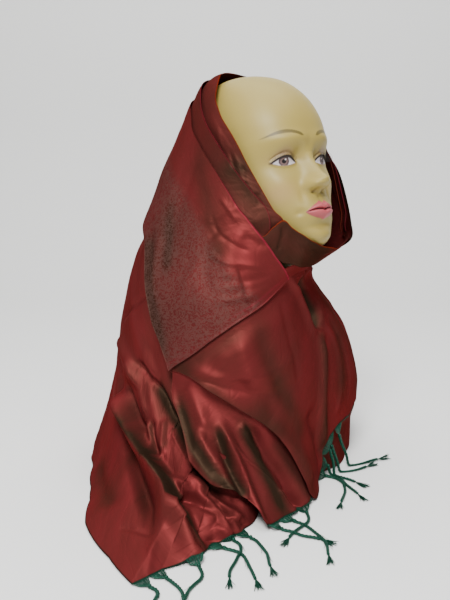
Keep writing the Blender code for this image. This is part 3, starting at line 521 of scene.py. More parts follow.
END_WEFT_AND_SHADE = (
    ("hollow", 0.95, 9, 9, ((47, 110), (43.5, 92), (39.3, 66), (35, 34), (31, 6))),
    ("beside the third ridge", 0.4, 7, 9, ((34, 84), (28, 56), (23, 26), (20, 6))),
    ("along the edge", 0.95, 8, 8, ((71, 136), (64, 96), (56.6, 68), (49.6, 43), (43, 19))),
    ("olive band", 0.9, 6, 6, ((54, 104), (50.5, 76), (47, 48), (43, 24))),
)


# The large folds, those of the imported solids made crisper
BACK_FOLDS = (
    ("shadow beside the edge", -8, 10, 9,
     ((80, 172), (75, 148), (69, 114), (63, 88), (58, 67), (53, 52), (48, 36), (42, 19))),
    ("long ridge", 21, 13, 7,
     ((112, 104), (100, 93), (91, 81), (82, 69), (75, 59), (68, 50), (61.5, 41), (57.5, 28), (54, 13),
      (52, 4))),
    ("trough before the ridge", -9, 7, 8,
     ((85, 84), (77, 68), (70.5, 60), (65, 51), (59, 44), (55, 32), (51.8, 17), (49.6, 4))),
    ("trough behind the ridge", -14, 10, 8,
     ((112, 108), (98, 74), (86, 56), (77, 47), (69.5, 37), (63.5, 26), (59, 12))),
    ("rounded ridge", 14, 9, 7, ((74, 56), (66, 50), (59, 52), (54, 46), (50, 26), (47, 6))),
    ("hollow in the rounded ridge", -7, 5, 7, ((61, 42), (57, 42), (52.6, 34), (50, 22), (48.6, 8))),
    ("trough from the shoulder", -8, 7, 9,
     ((96, 150), (87, 135), (79.5, 117), (74.5, 103), (69, 90), (65, 77), (61, 65))),
    ("pocket", -10, 6, 6, ((101, 120), (96, 107), (91.5, 95), (86.5, 84), (80, 74))),
    ("shoulder ridge", 8, 12, 9, ((112, 170), (103, 154), (94, 134), (90, 116))),
    ("outline trough", -7, 11, 11, ((124, 176), (116, 146), (108, 116), (102, 88))),
    ("upper crease", -4, 7, 4, ((90, 230), (100, 211), (112, 188))),
    ("back ridge 1", 7, 17, 13, ((140, 210), (136, 130), (127, 60), (118, 4))),
    ("back trough 1", -10, 14, 14, ((152, 250), (151, 140), (145, 60), (140, 4))),
    ("back ridge 2", 12, 18, 13, ((168, 270), (166, 150), (162, 60), (158, 4))),
    ("back trough 2", -10, 15, 15, ((186, 260), (184, 140), (182, 50), (182, 4))),
    ("back ridge 3", 11, 18, 13, ((206, 220), (204, 140), (206, 50), (208, 4))),
)
WRAP_FOLDS = (
    ("neck slit", -17, 12, 12, ((-4, 250), (-10, 236), (-15, 219), (-18, 203), (-16, 189), (-11, 176))),
    ("slit's far lip", 4, 6, 6, ((-46, 216), (-38, 201), (-27, 189), (-16, 177), (-6, 164))),
    ("near neck roll", 5, 9, 4, ((16, 252), (12, 240), (6, 221), (1, 201), (-3, 182), (-6, 168))),
    ("chest ridge", 6, 7, 9, ((-10, 190), (-7, 162), (-2, 135), (2, 102), (0, 63), (-2, 30))),
    ("lip of the tuck", 9, 11, 8, ((62, 139), (52, 119), (44, 97), (37, 78))),
    ("third ridge", 5, 13, 13, ((36, 100), (29, 74), (21, 46), (17, 14))),
    ("trough beside it", -5, 12, 12, ((15, 100), (8, 66), (3, 44), (0, 24))),
    ("hollow below the corner", -4, 12, 12, ((60, 165), (50, 150), (40, 128), (30, 100))),
    ("far shoulder trough", -6, 14, 14, ((-70, 190), (-62, 140), (-58, 90))),
    ("far shoulder ridge", 8, 17, 12, ((-96, 210), (-88, 150), (-84, 84))),
    ("far back trough", -6, 14, 14, ((-118, 220), (-112, 150), (-106, 90))),
    ("far back ridge", 7, 15, 11, ((-138, 230), (-132, 150), (-126, 96))),
)
END_FOLDS = (
    ("second ridge", 10, 8, 6, ((53, 106), (48.5, 78), (44.8, 52), (41.5, 26), (38.5, 4))),
    ("dark hollow", -13, 9, 9, ((44, 100), (40, 84), (35, 60), (29.5, 34), (25.5, 10), (23.5, 3))),
    ("bright ridge", 6, 8, 7, ((61, 98), (55.5, 76), (51, 58), (47.5, 38), (44.5, 18))),
)


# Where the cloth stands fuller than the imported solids: behind the right ear, and over the crown
FULLER_BACK = (
    ("fuller back", 9, 40, 44,
     ((130, 436), (124, 402), (119, 366), (114, 330), (109, 296), (103, 262), (97, 230), (91, 196),
      (86, 165))),
)
FULLER_CROWN = (
    ("fuller crown", 8, 34, 34,
     ((56, 380), (70, 440), (84, 468), (110, 486), (150, 491), (-170, 490), (-140, 480), (-110, 460))),
)


def edge_distance(points, *lines):
    """How far points lie from the nearest of some lines on the drape."""
    cover = np.concatenate([fold_line(line, 160) for line in lines])
    flat = points.reshape(-1, 3)
    gap = np.concatenate([np.linalg.norm(part[:, None] - cover, axis=-1).min(-1)
                          for part in np.array_split(flat, 1 + len(flat) // 4000)])
    return gap.reshape(points.shape[:-1])


def make_hood(silk):
    """The outer layer over the head, with a rolled rear edge and two lines of weave on its foot."""
    rows, cols = 110, 230
    far = ((-46, 258), (-58, 236), (-70, 212), (-80, 190))
    base = from_plan(patch(rows, cols, HOOD_FRONT, HOOD_BACK, EDGE_HOOD, far))
    v = np.linspace(0, 1, rows)[:, None]
    u = np.linspace(0, 1, cols)[None]
    rear_roll = 1.4 * bell(v, 1, 0.07) * (1 - soft(0.3, 0.45, u))
    raised = rear_roll + relief(base, HOOD_FOLDS) + relief(base, FULLER_BACK)
    from_front = cloth_uv(base)[..., 1]
    foot = edge_distance(base, EDGE_HOOD)
    foot_lines = bell(foot, FOOT_LINES[0], SELVAGE) + 0.8 * bell(foot, FOOT_LINES[1], SELVAGE)
    selvage = 0.8 * bell(from_front, 1, SELVAGE) * soft(0.3, 0.1, u)
    # The weft's green-brown, with painted shade in the hollow under the crown and along the rear edge
    fields = {"turn": relief(base, HOOD_WEFT_AND_SHADE),
              "edge": selvage + 0.25 * foot_lines,
              "figure": soft(*FIGURE, from_front) * (1 - soft(0.42, 0.5, u))}
    return silk_shell("hood", base, raised, silk, fields)[0]


def make_pleats(silk):
    """The two folds in front of the hood, each a layer lower and run on under the one behind it."""
    pieces = []
    for name, front, behind, depth in (("pleat_middle", MIDDLE_FRONT, HOOD_FRONT[2:-1], 1),
                                       ("pleat_inner", INNER_FRONT, MIDDLE_FRONT[1:], 2.1)):
        rows, cols = 28, 220
        first = path_fractions(plan(front), cols)
        last = path_fractions(plan(behind), cols)
        way = np.gradient(last, axis=0)
        back = np.stack([way[:, 1], -way[:, 0]], -1) / np.linalg.norm(way, axis=1, keepdims=True)
        back *= np.sign(((last - first) * back).sum())
        last = last + back * UNDERLAP / ROW_STEP
        f = np.linspace(0, 1, rows)[:, None, None]
        base = from_plan(first[None] * (1 - f) + last[None] * f)
        height = base[..., 2]
        bearing = bearing_of(base)
        under_band = soft(322, 304, height) * (base[..., 1] < 0)
        far_side = 0.4 * soft(-20, -38, bearing) * (bearing > -100) * soft(425, 385, height)
        raised = -LAYER * (depth * (1 + far_side) + under_band) + relief(base, PLEAT_FOLDS)
        raised = raised + relief(base, FULLER_CROWN)
        fields = {"turn": 0.3 + relief(base, PLEAT_SHADES)}
        from_front = cloth_uv(base)[..., 1]
        if name == "pleat_inner":
            # A painted highlight along the inner pleat's edge next to the face, on the near side
            fields["rim"] = bell(from_front, 0, FACE_RIM) * soft(-60, 0, bearing)
        else:
            fields["edge"] = 0.45 * bell(from_front, 0, SELVAGE)
        pieces.append(silk_shell(name, base, raised, silk, fields)[0])
    return pieces


def make_chin_band(silk):
    """The strip that passes under the chin and is tucked under the hood at both sides."""
    top = ((48, 312), (37, 303), (30.8, 313), (24.5, 321), (20, 312), (15, 304), (7, 294), (-4, 286),
           (-20, 280), (-34, 282), (-46, 290), (-56, 302))
    bottom = ((44, 282), (36, 280), (28.2, 275), (23.8, 270), (17, 266), (9, 262), (-4, 260),
              (-18, 264), (-34, 276), (-46, 282), (-56, 286))
    base = from_plan(patch(36, 170, top, bottom))
    bearing = bearing_of(base)
    tucked = -LAYER * (soft(11, 20, bearing) + soft(-22, -34, bearing))
    # A painted highlight along the band's edge under the chin, on the near side
    rim = bell(cloth_uv(base)[..., 1], 0, FACE_RIM) * soft(-25, -10, bearing)
    fields = {"turn": 0.7 - 0.5 * soft(0, -30, bearing), "rim": rim}
    return silk_shell("chin_band", base, tucked + relief(base, BAND_FOLDS), silk, fields)[0]


# Where the fringe hangs, in segments of each hem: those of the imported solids
FRINGED_BEARINGS = (42.5, 45.5, 48.2, 50.9, 53.5, 56.0, 57.6, 58.9)
BACK_SEGMENTS = len(FRINGED_BEARINGS) - 1
END_SEGMENTS, END_FRINGED = 18, 14
WRAP_SEGMENTS, WRAP_FRINGED = 44, (14, 25)


def hem_line(uv):
    """1 on the hem, else 0, from the silk's flat places."""
    return bell(uv[-1:, :, 1], uv[..., 1], HEM_LINE)


BACK_TURN, BACK_RISE, BACK_TOP = -2.5, 22, 345    # how far it runs on under the hood and the tuck


def make_back_drape(silk):
    """The shawl's long side, which falls from the nape and spreads on the surface."""
    rows, fine = 130, 12
    edge = EDGE_BACK[::-1] + HOOD_BACK[1:10]
    top = [(b % 360 if b < -20 else b, min(h, BACK_TOP)) for b, h in shift(edge, BACK_TURN, BACK_RISE)]
    top += [(250, 285), (262, 262)]
    fringed = np.interp(np.arange(BACK_SEGMENTS * fine + 1) / fine, range(BACK_SEGMENTS + 1),
                        FRINGED_BEARINGS)
    before = np.linspace(36.5, fringed[0], 9)[:-1]
    bearings = np.concatenate([before, fringed, np.linspace(fringed[-1], 94, 91)[1:],
                               np.linspace(94, 258, 111)[1:]])
    first = level_of(np.interp(bearings, [b for b, _ in top], [h for _, h in top]))
    down = np.linspace(0, 1, rows)[:, None] ** 0.95
    levels = first[None] + (level_of(2.0) - first)[None] * down
    a = np.radians(bearings)[None]
    base = from_plan(np.stack([-np.sin(a) * levels, -np.cos(a) * levels], -1), BACK_HEM)
    gap = edge_distance(base, HOOD_BACK, EDGE_BACK)
    under = -LAYER * (2.2 - 1.1 * soft(82, 94, bearing_of(base) % 360)) * soft(38, 22, gap)
    under = under - LAYER * 0.9 * soft(188, 208, bearing_of(base) % 360)
    folds = relief(base, BACK_FOLDS)
    folds = np.where(folds > 0, folds * soft(8, 30, gap), folds) + relief(base, BACK_CREASES)
    # The weft's green-brown, with painted shade beside the edge, in the pocket and on the long ridge's far
    # flank
    fields = {"turn": relief(base, BACK_WEFT_AND_SHADE), "hem": hem_line(cloth_uv(base))}
    raised = under + folds + relief(base, FULLER_BACK)
    obj, hem, out = silk_shell("back_drape", base, raised, silk, fields)
    hung = slice(len(before), len(before) + len(fringed))
    return obj, hem[hung], out[hung]


def over_left_shoulder(bearing):
    """How far the front wrap stands out where it passes over the layers on the left."""
    return LAYER * 1.3 * soft(-34, -54, bearing)


def make_front_wrap(silk):
    """The shawl's second turn: from under the hood across the chest to the left shoulder."""
    rows, fine = 140, 6
    cols = WRAP_SEGMENTS * fine + 1
    top = ((75, 176), (66, 192), (58, 212), (48, 228), (36, 248), (24, 262), (12, 266), (0, 266),
           (-20, 258), (-40, 248), (-60, 244), (-85, 244), (-110, 256), (-132, 268), (-150, 276))
    bottom = EDGE_WRAP + HEM_WRAP[1:]
    base = from_plan(patch(rows, cols, top, bottom), FRONT_HEM)
    bearing = bearing_of(base)
    edge_height = np.interp(bearing, [b for b, _ in EDGE_HOOD], [h for _, h in EDGE_HOOD])
    gap = np.where(base[..., 2] > edge_height, 0, edge_distance(base, EDGE_HOOD))
    under = -LAYER * soft(30, 4, gap)
    raised = under + over_left_shoulder(bearing) + relief(base, WRAP_FOLDS)
    raised = raised + relief(base, WRAP_CREASES)
    # The weft's green-brown, with painted shade in the neck slit, the chest hollow and below the hood's
    # edge
    fields = {"turn": relief(base, WRAP_WEFT_AND_SHADE),
              "hem": hem_line(cloth_uv(base)) * soft(18, 14, bearing)}
    obj, hem, out = silk_shell("front_wrap", base, raised, silk, fields)
    hung = slice(WRAP_FRINGED[0] * fine, WRAP_FRINGED[1] * fine + 1)
    return obj, hem[hung], out[hung]


def make_near_end(silk):
    """The fringed end of the shawl, from under the tuck down to the surface."""
    rows, fine = 120, 7
    cols = END_SEGMENTS * fine + 1
    right = shift(EDGE_WRAP, -3.5, 9)[1:]
    top = ((75, 168), (70, 162), (62, 155))
    bottom = ((37.5, 2), (34, 2), (28, 2), (20, 2), (12, 2))
    base = from_plan(patch(rows, cols, top, bottom, EDGE_BACK, right), FRONT_HEM)
    gap = edge_distance(base, EDGE_WRAP)
    under = -LAYER * 1.54 * soft(36, 8, gap)
    rolled = 3.0 * bell(np.linspace(0, 1, cols)[None], 0, 0.1) * soft(8, 40, gap)
    raised = under + rolled + relief(base, END_FOLDS) + relief(base, END_CREASES)
    # The weft's green-brown, with painted shade in the hollow and along the edge under the tuck
    fields = {"turn": relief(base, END_WEFT_AND_SHADE), "hem": hem_line(cloth_uv(base))}
    obj, hem, out = silk_shell("near_end", base, raised, silk, fields)
    hung = slice(END_FRINGED * fine + 1)
    return obj, hem[hung], out[hung]


def make_under_end(silk):
    """What shows of the first turn below the front wrap, on the left of the front."""
    top = ((0, 76), (-20, 82), (-45, 88), (-75, 90), (-108, 92))
    bottom = ((4, 2), (-16, 2), (-40, 2), (-75, 2), (-110, 2))
    base = from_plan(patch(46, 150, top, bottom), FRONT_HEM)
    bearing = bearing_of(base)
    seated = over_left_shoulder(bearing) + relief(base, WRAP_FOLDS) - WALL - SEAT
    seated = seated - LAYER * (1.6 * soft(-22, -8, bearing) + soft(62, 40, base[..., 2]))
    tucked = soft(-82, -97, bearing)
    raised = seated * (1 - tucked) - LAYER * 2.1 * tucked
    return silk_shell("under_end", base, raised, silk, {"turn": 0.3 + 0 * bearing})[0]


# Fringe: which segment of the hem each tassel hangs from, its length, the way it sets off (degrees
# from straight out, to the form's left when positive) and how much it curls on its way
STRIP_GAP = 1.2
STRIP_WIDTH = 4.0
STRIP_THICK = 1.1
GATHER = 20.0         # the fan of threads above each knotted strand
STRAND = 2.6          # the solid strand; a real one's plies stand a little proud of it
PLIES = 3
PLY = 1.15            # radius of one ply
TWIST_PITCH = 15.0    # one turn of a strand's plies
THREAD = 0.34         # radius of a fringe thread, drawn coarse so that it shows
FAN_THREADS = 26      # hem threads that each tassel gathers
FAN_HALF = 10.0       # half the stretch of hem that they come from
KNOT = (0.8, 1.9, 2.0, 1.2)  # radii of a tassel's knot, in plies
BRUSH_THREADS = 40    # threads of the brush at a strand's end
BRUSH = (12, 21)      # how long they are
STRAND_POINTS = 50    # points along a strand
WAVER = 1.2           # how far a strand strays from its curve
STRAYS = 5            # single threads that stand off a strand
STRAY_REACH = 3.5     # how far they stand off it
CUT_STEP = 0.6        # from one cut thread of the hem to the next, in points of its line
TASSEL_COLUMNS = ("segment", "length", "heading", "curl")
BACK_TASSELS = ((0, 72, -32, 0), (1, 88, -72, 40), (2, 80, -24, -40), (3, 80, -40, 10),
                (5, 60, -24, -10), (6, 60, -50, 0))
END_TASSELS = ((1, 54, 0, 4), (4, 92, -16, -40), (10, 74, -50, 20))
WRAP_TASSELS = ((0, 92, -60, -20), (1, 84, -38, -10), (2, 72, 0, 20), (3, 84, 20, 50),
                (5, 96, 56, 0))


def tassel_path(start, out, across, tassel, steps=6):
    """A strand's middle line: it leaves the hem, falls to the surface and lies in a curve."""
    flat_out = np.array([across[1], -across[0], 0.0])
    flat_out *= np.sign(flat_out @ start) / np.linalg.norm(flat_out)
    side = np.array([-flat_out[1], flat_out[0], 0.0])
    lowest = LIFT + STRAND / 2 + 0.1
    points = [start, start + out * GATHER * 0.5]
    points[1][2] = max(points[1][2], lowest)
    step = (tassel["length"] - GATHER * 0.5) / steps
    for k in range(steps):
        turn = math.radians(tassel["heading"] * min(1, k / 2) + tassel["curl"] * k / steps)
        way = flat_out * math.cos(turn) + side * math.sin(turn)
        high = points[-1][2] > lowest + 0.5
        way = way * 0.35 + np.array([0, 0, -0.94]) if high else way
        ahead = points[-1] + way * step
        ahead[2] = max(ahead[2], lowest)
        points.append(ahead)
    return np.array(points)


def unit(v):
    """Directions of vectors."""
    return v / (np.linalg.norm(v, axis=-1, keepdims=True) + 1e-12)


def frames(path):
    """Two directions square to a path at each of its points, carried along without twist."""
    forward = unit(np.gradient(path, axis=0))
    side = np.empty_like(path)
    guess = np.cross(forward[0], (0.0, 0.0, 1.0))
    if np.linalg.norm(guess) < 1e-3:
        guess = np.array([1.0, 0.0, 0.0])
    for k, way in enumerate(forward):
        guess = unit(guess - way * (guess @ way))
        side[k] = guess
    return side, np.cross(forward, side)


def add_thread(store, path, radii, sides=5):
    """Adds a closed tube along a path to a store of points and faces."""
    path = np.asarray(path, float)
    side, up = frames(path)
    turn = np.linspace(0, 2 * math.pi, sides, endpoint=False)
    ring_of = side[:, None] * np.cos(turn)[None, :, None] + up[:, None] * np.sin(turn)[None, :, None]
    rings = path[:, None] + ring_of * np.broadcast_to(radii, len(path))[:, None, None]
    start = len(store["points"])
    store["points"] += list(rings.reshape(-1, 3))
    for k in range(len(path) - 1):
        for m in range(sides):
            n = (m + 1) % sides
            a = start + k * sides
            store["faces"].append((a + m, a + n, a + sides + n, a + sides + m))
    store["faces"].append(tuple(start + m for m in range(sides))[::-1])
    store["faces"].append(tuple(start + (len(path) - 1) * sides + m for m in range(sides)))


def fine_path(points, count):
    """A smooth path through points, in more of them."""
    return through(points, np.linspace(0, len(points) - 1, count))


def add_tassel(store, rng, hem, out, at, row):
    """One tassel: a sheer fan of hem threads, the knot that gathers them, a strand and its brush."""
    tassel = dict(zip(TASSEL_COLUMNS, row))
    across = unit(np.gradient(hem, axis=0))[at]
    walked = np.concatenate([[0], np.cumsum(np.linalg.norm(np.diff(hem, axis=0), axis=1))])
    start = hem[at] + out[at] * (STRIP_GAP + STRIP_WIDTH)
    path = tassel_path(start.copy(), out[at], across, tassel)
    knot = path[1]
    for f in np.linspace(-1, 1, FAN_THREADS):
        place = walked[at] + f * FAN_HALF + rng.uniform(-0.5, 0.5)
        root = np.array([np.interp(place, walked, hem[:, k]) for k in range(3)])
        lean = root + out[at] * 3.0 + (knot - root) * 0.25
        line = fine_path(np.array([root - out[at] * 0.8, lean, (lean + knot) / 2, knot]), 7)
        add_thread(store, settle(line, LIFT + THREAD), THREAD, 4)
    body = fine_path(path[1:], STRAND_POINTS)
    side, up = frames(body)
    along = np.linspace(0, 1, len(body))
    twist = 2 * math.pi * tassel["length"] / TWIST_PITCH * along + rng.uniform(0, 6)
    waver = np.sin(rng.uniform(6, 10) * along + rng.uniform(0, 6)) * WAVER * soft(0, 0.3, along)
    body = body + side * waver[:, None]
    for ply in range(PLIES):
        phase = (twist + ply * 2 * math.pi / PLIES)[:, None]
        line = body + (side * np.cos(phase) + up * np.sin(phase)) * PLY * 0.85
        add_thread(store, settle(line, LIFT + PLY), PLY * (1 - 0.2 * along), 6)
    bump = np.array([body[0] - (body[1] - body[0]), body[0], body[1], body[2]])
    add_thread(store, settle(bump, LIFT + 2 * PLY), np.array(KNOT) * PLY, 8)
    way = unit(body[-1] - body[-4])
    for _ in range(BRUSH_THREADS):
        spread = unit(way + side[-1] * rng.uniform(-0.26, 0.26) + up[-1] * rng.uniform(-0.1, 0.25))
        length = rng.uniform(*BRUSH)
        root = body[-4] + side[-1] * rng.uniform(-1, 1) * PLY
        line = np.array([root, body[-1] + spread, body[-1] + spread * length * 0.6,
                         body[-1] + spread * length + side[-1] * rng.uniform(-1.2, 1.2)])
        line = settle(fine_path(line, 7), LIFT + THREAD)
        add_thread(store, line, np.linspace(1.5, 0.6, 7) * THREAD, 4)
    for _ in range(STRAYS):
        k = rng.integers(4, len(body) - 12)
        off = side[k] * rng.uniform(-STRAY_REACH, STRAY_REACH)
        line = [body[k], body[k + 4] + off * 0.8, body[k + 8] + off, body[k + 11] + off * 1.6]
        add_thread(store, settle(fine_path(np.array(line), 9), LIFT + THREAD), THREAD * 0.6, 3)


def make_fringe(name, hem, out, segments, tassels, yarn, seed):
    """The tassels of twisted green silk along a stretch of hem, and its short cut ends between."""
    rng = np.random.default_rng(seed)
    across = unit(np.gradient(hem, axis=0))
    out = unit(out)
    out = unit(out - across * (out * across).sum(1, keepdims=True))
    lowest = LIFT + STRIP_THICK / 2 + 0.05
    drop = (hem[:, 2] - lowest).clip(0) / (STRIP_WIDTH + STRIP_GAP)
    out[:, 2] = np.maximum(out[:, 2], -drop)
    out = unit(out)
    store = {"points": [], "faces": []}
    steps = (len(hem) - 1) / segments
    for row in tassels:
        at = int((row[TASSEL_COLUMNS.index("segment")] + 0.5) * steps)
        add_tassel(store, rng, hem, out, at, row)
    for f in np.arange(0.3, len(hem) - 1.3, CUT_STEP):
        k = int(f)
        root = hem[k] + (hem[k + 1] - hem[k]) * (f - k)
        ahead = out[k] + across[k] * rng.uniform(-0.5, 0.5)
        line = root + ahead * np.linspace(-0.5, rng.uniform(1.0, 2.6), 3)[:, None]
        add_thread(store, settle(line, LIFT + THREAD), THREAD * 0.7, 3)
    return add_mesh("yarn_" + name, store["points"], store["faces"], yarn)


# The form's head in its own frame: a row per height above the ears
HEAD_COLUMNS = ("up", "front", "back", "half_width", "squareness")
HEAD = (
    (137, 6, -14, 8, 2.0),
    (131, 32, -52, 36, 2.0),
    (118, 57, -74, 53, 2.1),
    (95, 80, -87, 65, 2.15),
    (68, 93, -92, 72, 2.2),
    (42, 96, -92, 73, 2.25),
    (20, 91, -88, 72, 2.3),
    (0, 89, -83, 70, 2.3),
    (-18, 91, -75, 68, 2.25),
    (-34, 93, -66, 65, 2.2),
    (-50, 94, -58, 61, 2.15),
    (-66, 94, -52, 54, 2.1),
    (-80, 92, -50, 43, 2.1),
    (-90, 80, -48, 30, 2.0),
    (-95, 56, -44, 18, 2.0),
)
# The form's neck and shoulders: a row per height
BUST_COLUMNS = ("height", "front", "back", "half_width", "squareness")
BUST = (
    (0, 90, 84, 135, 2.3),
    (50, 93, 87, 139, 2.3),
    (100, 92, 88, 142, 2.3),
    (132, 86, 85, 139, 2.3),
    (155, 79, 80, 128, 2.2),
    (176, 70, 74, 102, 2.1),
    (196, 64, 69, 82, 2.05),
    (218, 58, 64, 66, 2.0),
    (245, 55, 62, 58, 2.0),
    (275, 54, 62, 55, 2.0),
    (305, 50, 62, 53, 2.0),
    (335, 42, 58, 46, 2.0),
)


def columns(table, names, places):
    """The named columns of a table, read smoothly at fractional row numbers."""
    rows = through(np.array(table, float), places)
    return [rows[:, names.index(name)][:, None] for name in names]


def oval(front, back, half_width, power, angle):
    """Across and forward of an oval outline: squarer for a larger power."""
    c, s = np.cos(angle), np.sin(angle)
    across = half_width * np.sign(s) * np.abs(s) ** (2 / power)
    forward = np.abs(c) ** (2 / power) * np.where(c > 0, front, back)
    return across, forward


def head_place(across, forward, up):
    """From the head's own frame to the part's."""
    tilt = math.radians(HEAD_TILT)
    c, s = math.cos(tilt), math.sin(tilt)
    x0, y0, z0 = HEAD_CENTRE
    return np.stack([x0 - across, y0 - forward * c + up * s, z0 + forward * s + up * c], -1)


def head_frame(points):
    """Across, forward and up in the head's own frame of points of the part's."""
    tilt = math.radians(HEAD_TILT)
    c, s = math.cos(tilt), math.sin(tilt)
    off = points - np.array(HEAD_CENTRE)
    return -off[:, 0], off[:, 2] * s - off[:, 1] * c, off[:, 1] * s + off[:, 2] * c


# The face, in the head's own frame: heights above the ears and how far features stand out
NOSE_COLUMNS = ("up", "raise", "half_width", "squareness")
NOSE = ((40, 0, 9, 2.0), (30, 1.5, 9, 2.0), (22, 3, 8, 2.0), (12, 7, 8, 2.0), (4, 12, 9, 2.0),
        (-4, 17, 10, 2.1), (-10, 21, 11.5, 2.3), (-14, 22.5, 12.5, 2.5), (-18, 21, 12.5, 2.7),
        (-21.5, 16, 12, 3), (-24.5, 8, 9.5, 3), (-28, 3, 7, 2), (-33, 0, 6, 2))
# Soft forms: a name, how far they stand out, their middle and half widths across and up
FACE_FORMS = (
    ("eye socket", -10.0, 31, 13, 17, 11),
    ("inner corner", -4.5, 15, 17, 6.5, 9),
    ("eyeball", 6.5, 31, 13, 13, 8.5),
    ("brow ridge", 4.0, 27, 38, 22, 8),
    ("glabella", -1.5, 0, 32, 6, 8),
    ("nostril wing", 8.5, 12.5, -18.5, 5.0, 6.0),
    ("nose tip", 2.0, 0, -13, 6, 5),
    ("nostril", -4.0, 6.5, -25.0, 3.2, 2.4),
    ("mouth mound", 7.0, 0, -46, 25, 15),
    ("philtrum", -1.4, 0, -31, 3.0, 5.5),
    ("mouth corner", -2.2, 26.5, -48.5, 4, 4),
    ("under the lower lip", -4.0, 0, -65, 16, 5.5),
    ("chin", 3.5, 0, -78, 16, 10),
    ("cheekbone", 4.0, 45, -12, 17, 16),
    ("hollow of the cheek", -1.5, 40, -44, 14, 16),
    ("fold beside the nose", -1.3, 21, -30, 4, 9),
)
EYE = {"inner": 16.0, "outer": 45.0, "corner": 11.2, "upper": 7.0, "lower": 3.5, "tilt": 1.6}
IRIS = {"across": 31.5, "up": 13.8, "radius": 6.0, "pupil": 2.6}
MOUTH = {"half": 21.5, "line": -47.8, "upper": 11.2, "lower": 11.0, "plump": 4.2}
PAINT = {"blush": "#E0A592", "eyelid": "#7E5B57", "eye white": "#C9C0C4", "iris rim": "#4A3A3E",
         "iris": "#8A6E68", "pupil": "#181214", "glint": "#F4F2F0", "upper lashes": "#241A1E",
         "lower lashes": "#6A4A48", "brow": "#54481F", "lips": "#A94753", "mouth line": "#63242F",
         "nostril": "#6E5A3A"}
FACE_HALF = 40        # the face's half angle, degrees, where the points lie closest
FACE_SIDES = 230      # points across it
REST_SIDES = 70       # points round the rest of the head
FACE_ROWS = (4.2, 11.6)  # rows of HEAD between which the rings lie closest


def eyelids(across):
    """Heights of the upper and the lower lid's edge."""
    s = np.clip((np.abs(across) - EYE["inner"]) / (EYE["outer"] - EYE["inner"]), 0, 1)
    corner = EYE["corner"] + EYE["tilt"] * s
    upper = corner + EYE["upper"] * np.sin(math.pi * s ** 0.86) ** 0.9
    lower = corner - EYE["lower"] * np.sin(math.pi * s ** 1.12) ** 0.9
    return upper, lower


def lips(across):
    """Heights of the upper lip's top, the mouth's line and the lower lip's foot."""
    s = np.clip(np.abs(across) / MOUTH["half"], 0, 1)
    line = MOUTH["line"] - 1.0 * s + 1.2 * np.sin(math.pi * s) * (s < 1) - 0.9 * bell(s, 0, 0.14)
    bow = 1.5 * bell(s, 0.2, 0.1) - 0.6 * bell(s, 0, 0.1)
    top = line + MOUTH["upper"] * (1 - s ** 1.5) * (0.86 + 0.1 * bow)
    foot = line - MOUTH["lower"] * (1 - s ** 2.4) ** 0.8
    return top, line, foot


def face_forward(across, up):
    """How far the face stands out of the plain head."""
    side = np.abs(across)
    out = np.zeros_like(across + up)
    for _name, raise_by, at, high, wide, tall in FACE_FORMS:
        out += raise_by * bell(side, at, wide) * bell(up, high, tall)
        if at and at < wide * 2:
            out += raise_by * bell(side, -at, wide) * bell(up, high, tall)
    nose = dict(zip(NOSE_COLUMNS, zip(*NOSE[::-1])))
    stand, half, power = [np.interp(up, nose["up"], nose[key]) for key in NOSE_COLUMNS[1:]]
    out += stand * np.exp(-(side / half) ** power)
    upper, lower = eyelids(across)
    over_eye = soft(14, 18, side) * soft(48, 43, side)
    out += over_eye * 1.5 * bell(up, upper + 1.1, 1.5)
    out -= over_eye * 1.3 * bell(up, upper + 5.0, 1.3)
    out += over_eye * 0.9 * bell(up, lower - 1.0, 1.3)
    top, line, foot = lips(across)
    plump = np.clip(1 - (side / MOUTH["half"]) ** 2, 0, 1) ** 0.6
    high = np.clip((up - line) / np.maximum(top - line, 0.5), 0, 1)
    low = np.clip((line - up) / np.maximum(line - foot, 0.5), 0, 1)
    upper_lip = np.sin(math.pi * high ** 0.8) ** 0.8
    lower_lip = np.sin(math.pi * low ** 0.75) ** 0.8
    out += plump * MOUTH["plump"] * (upper_lip + 1.25 * lower_lip)
    out -= plump * 2.2 * bell(up, line, 1.1)
    return out


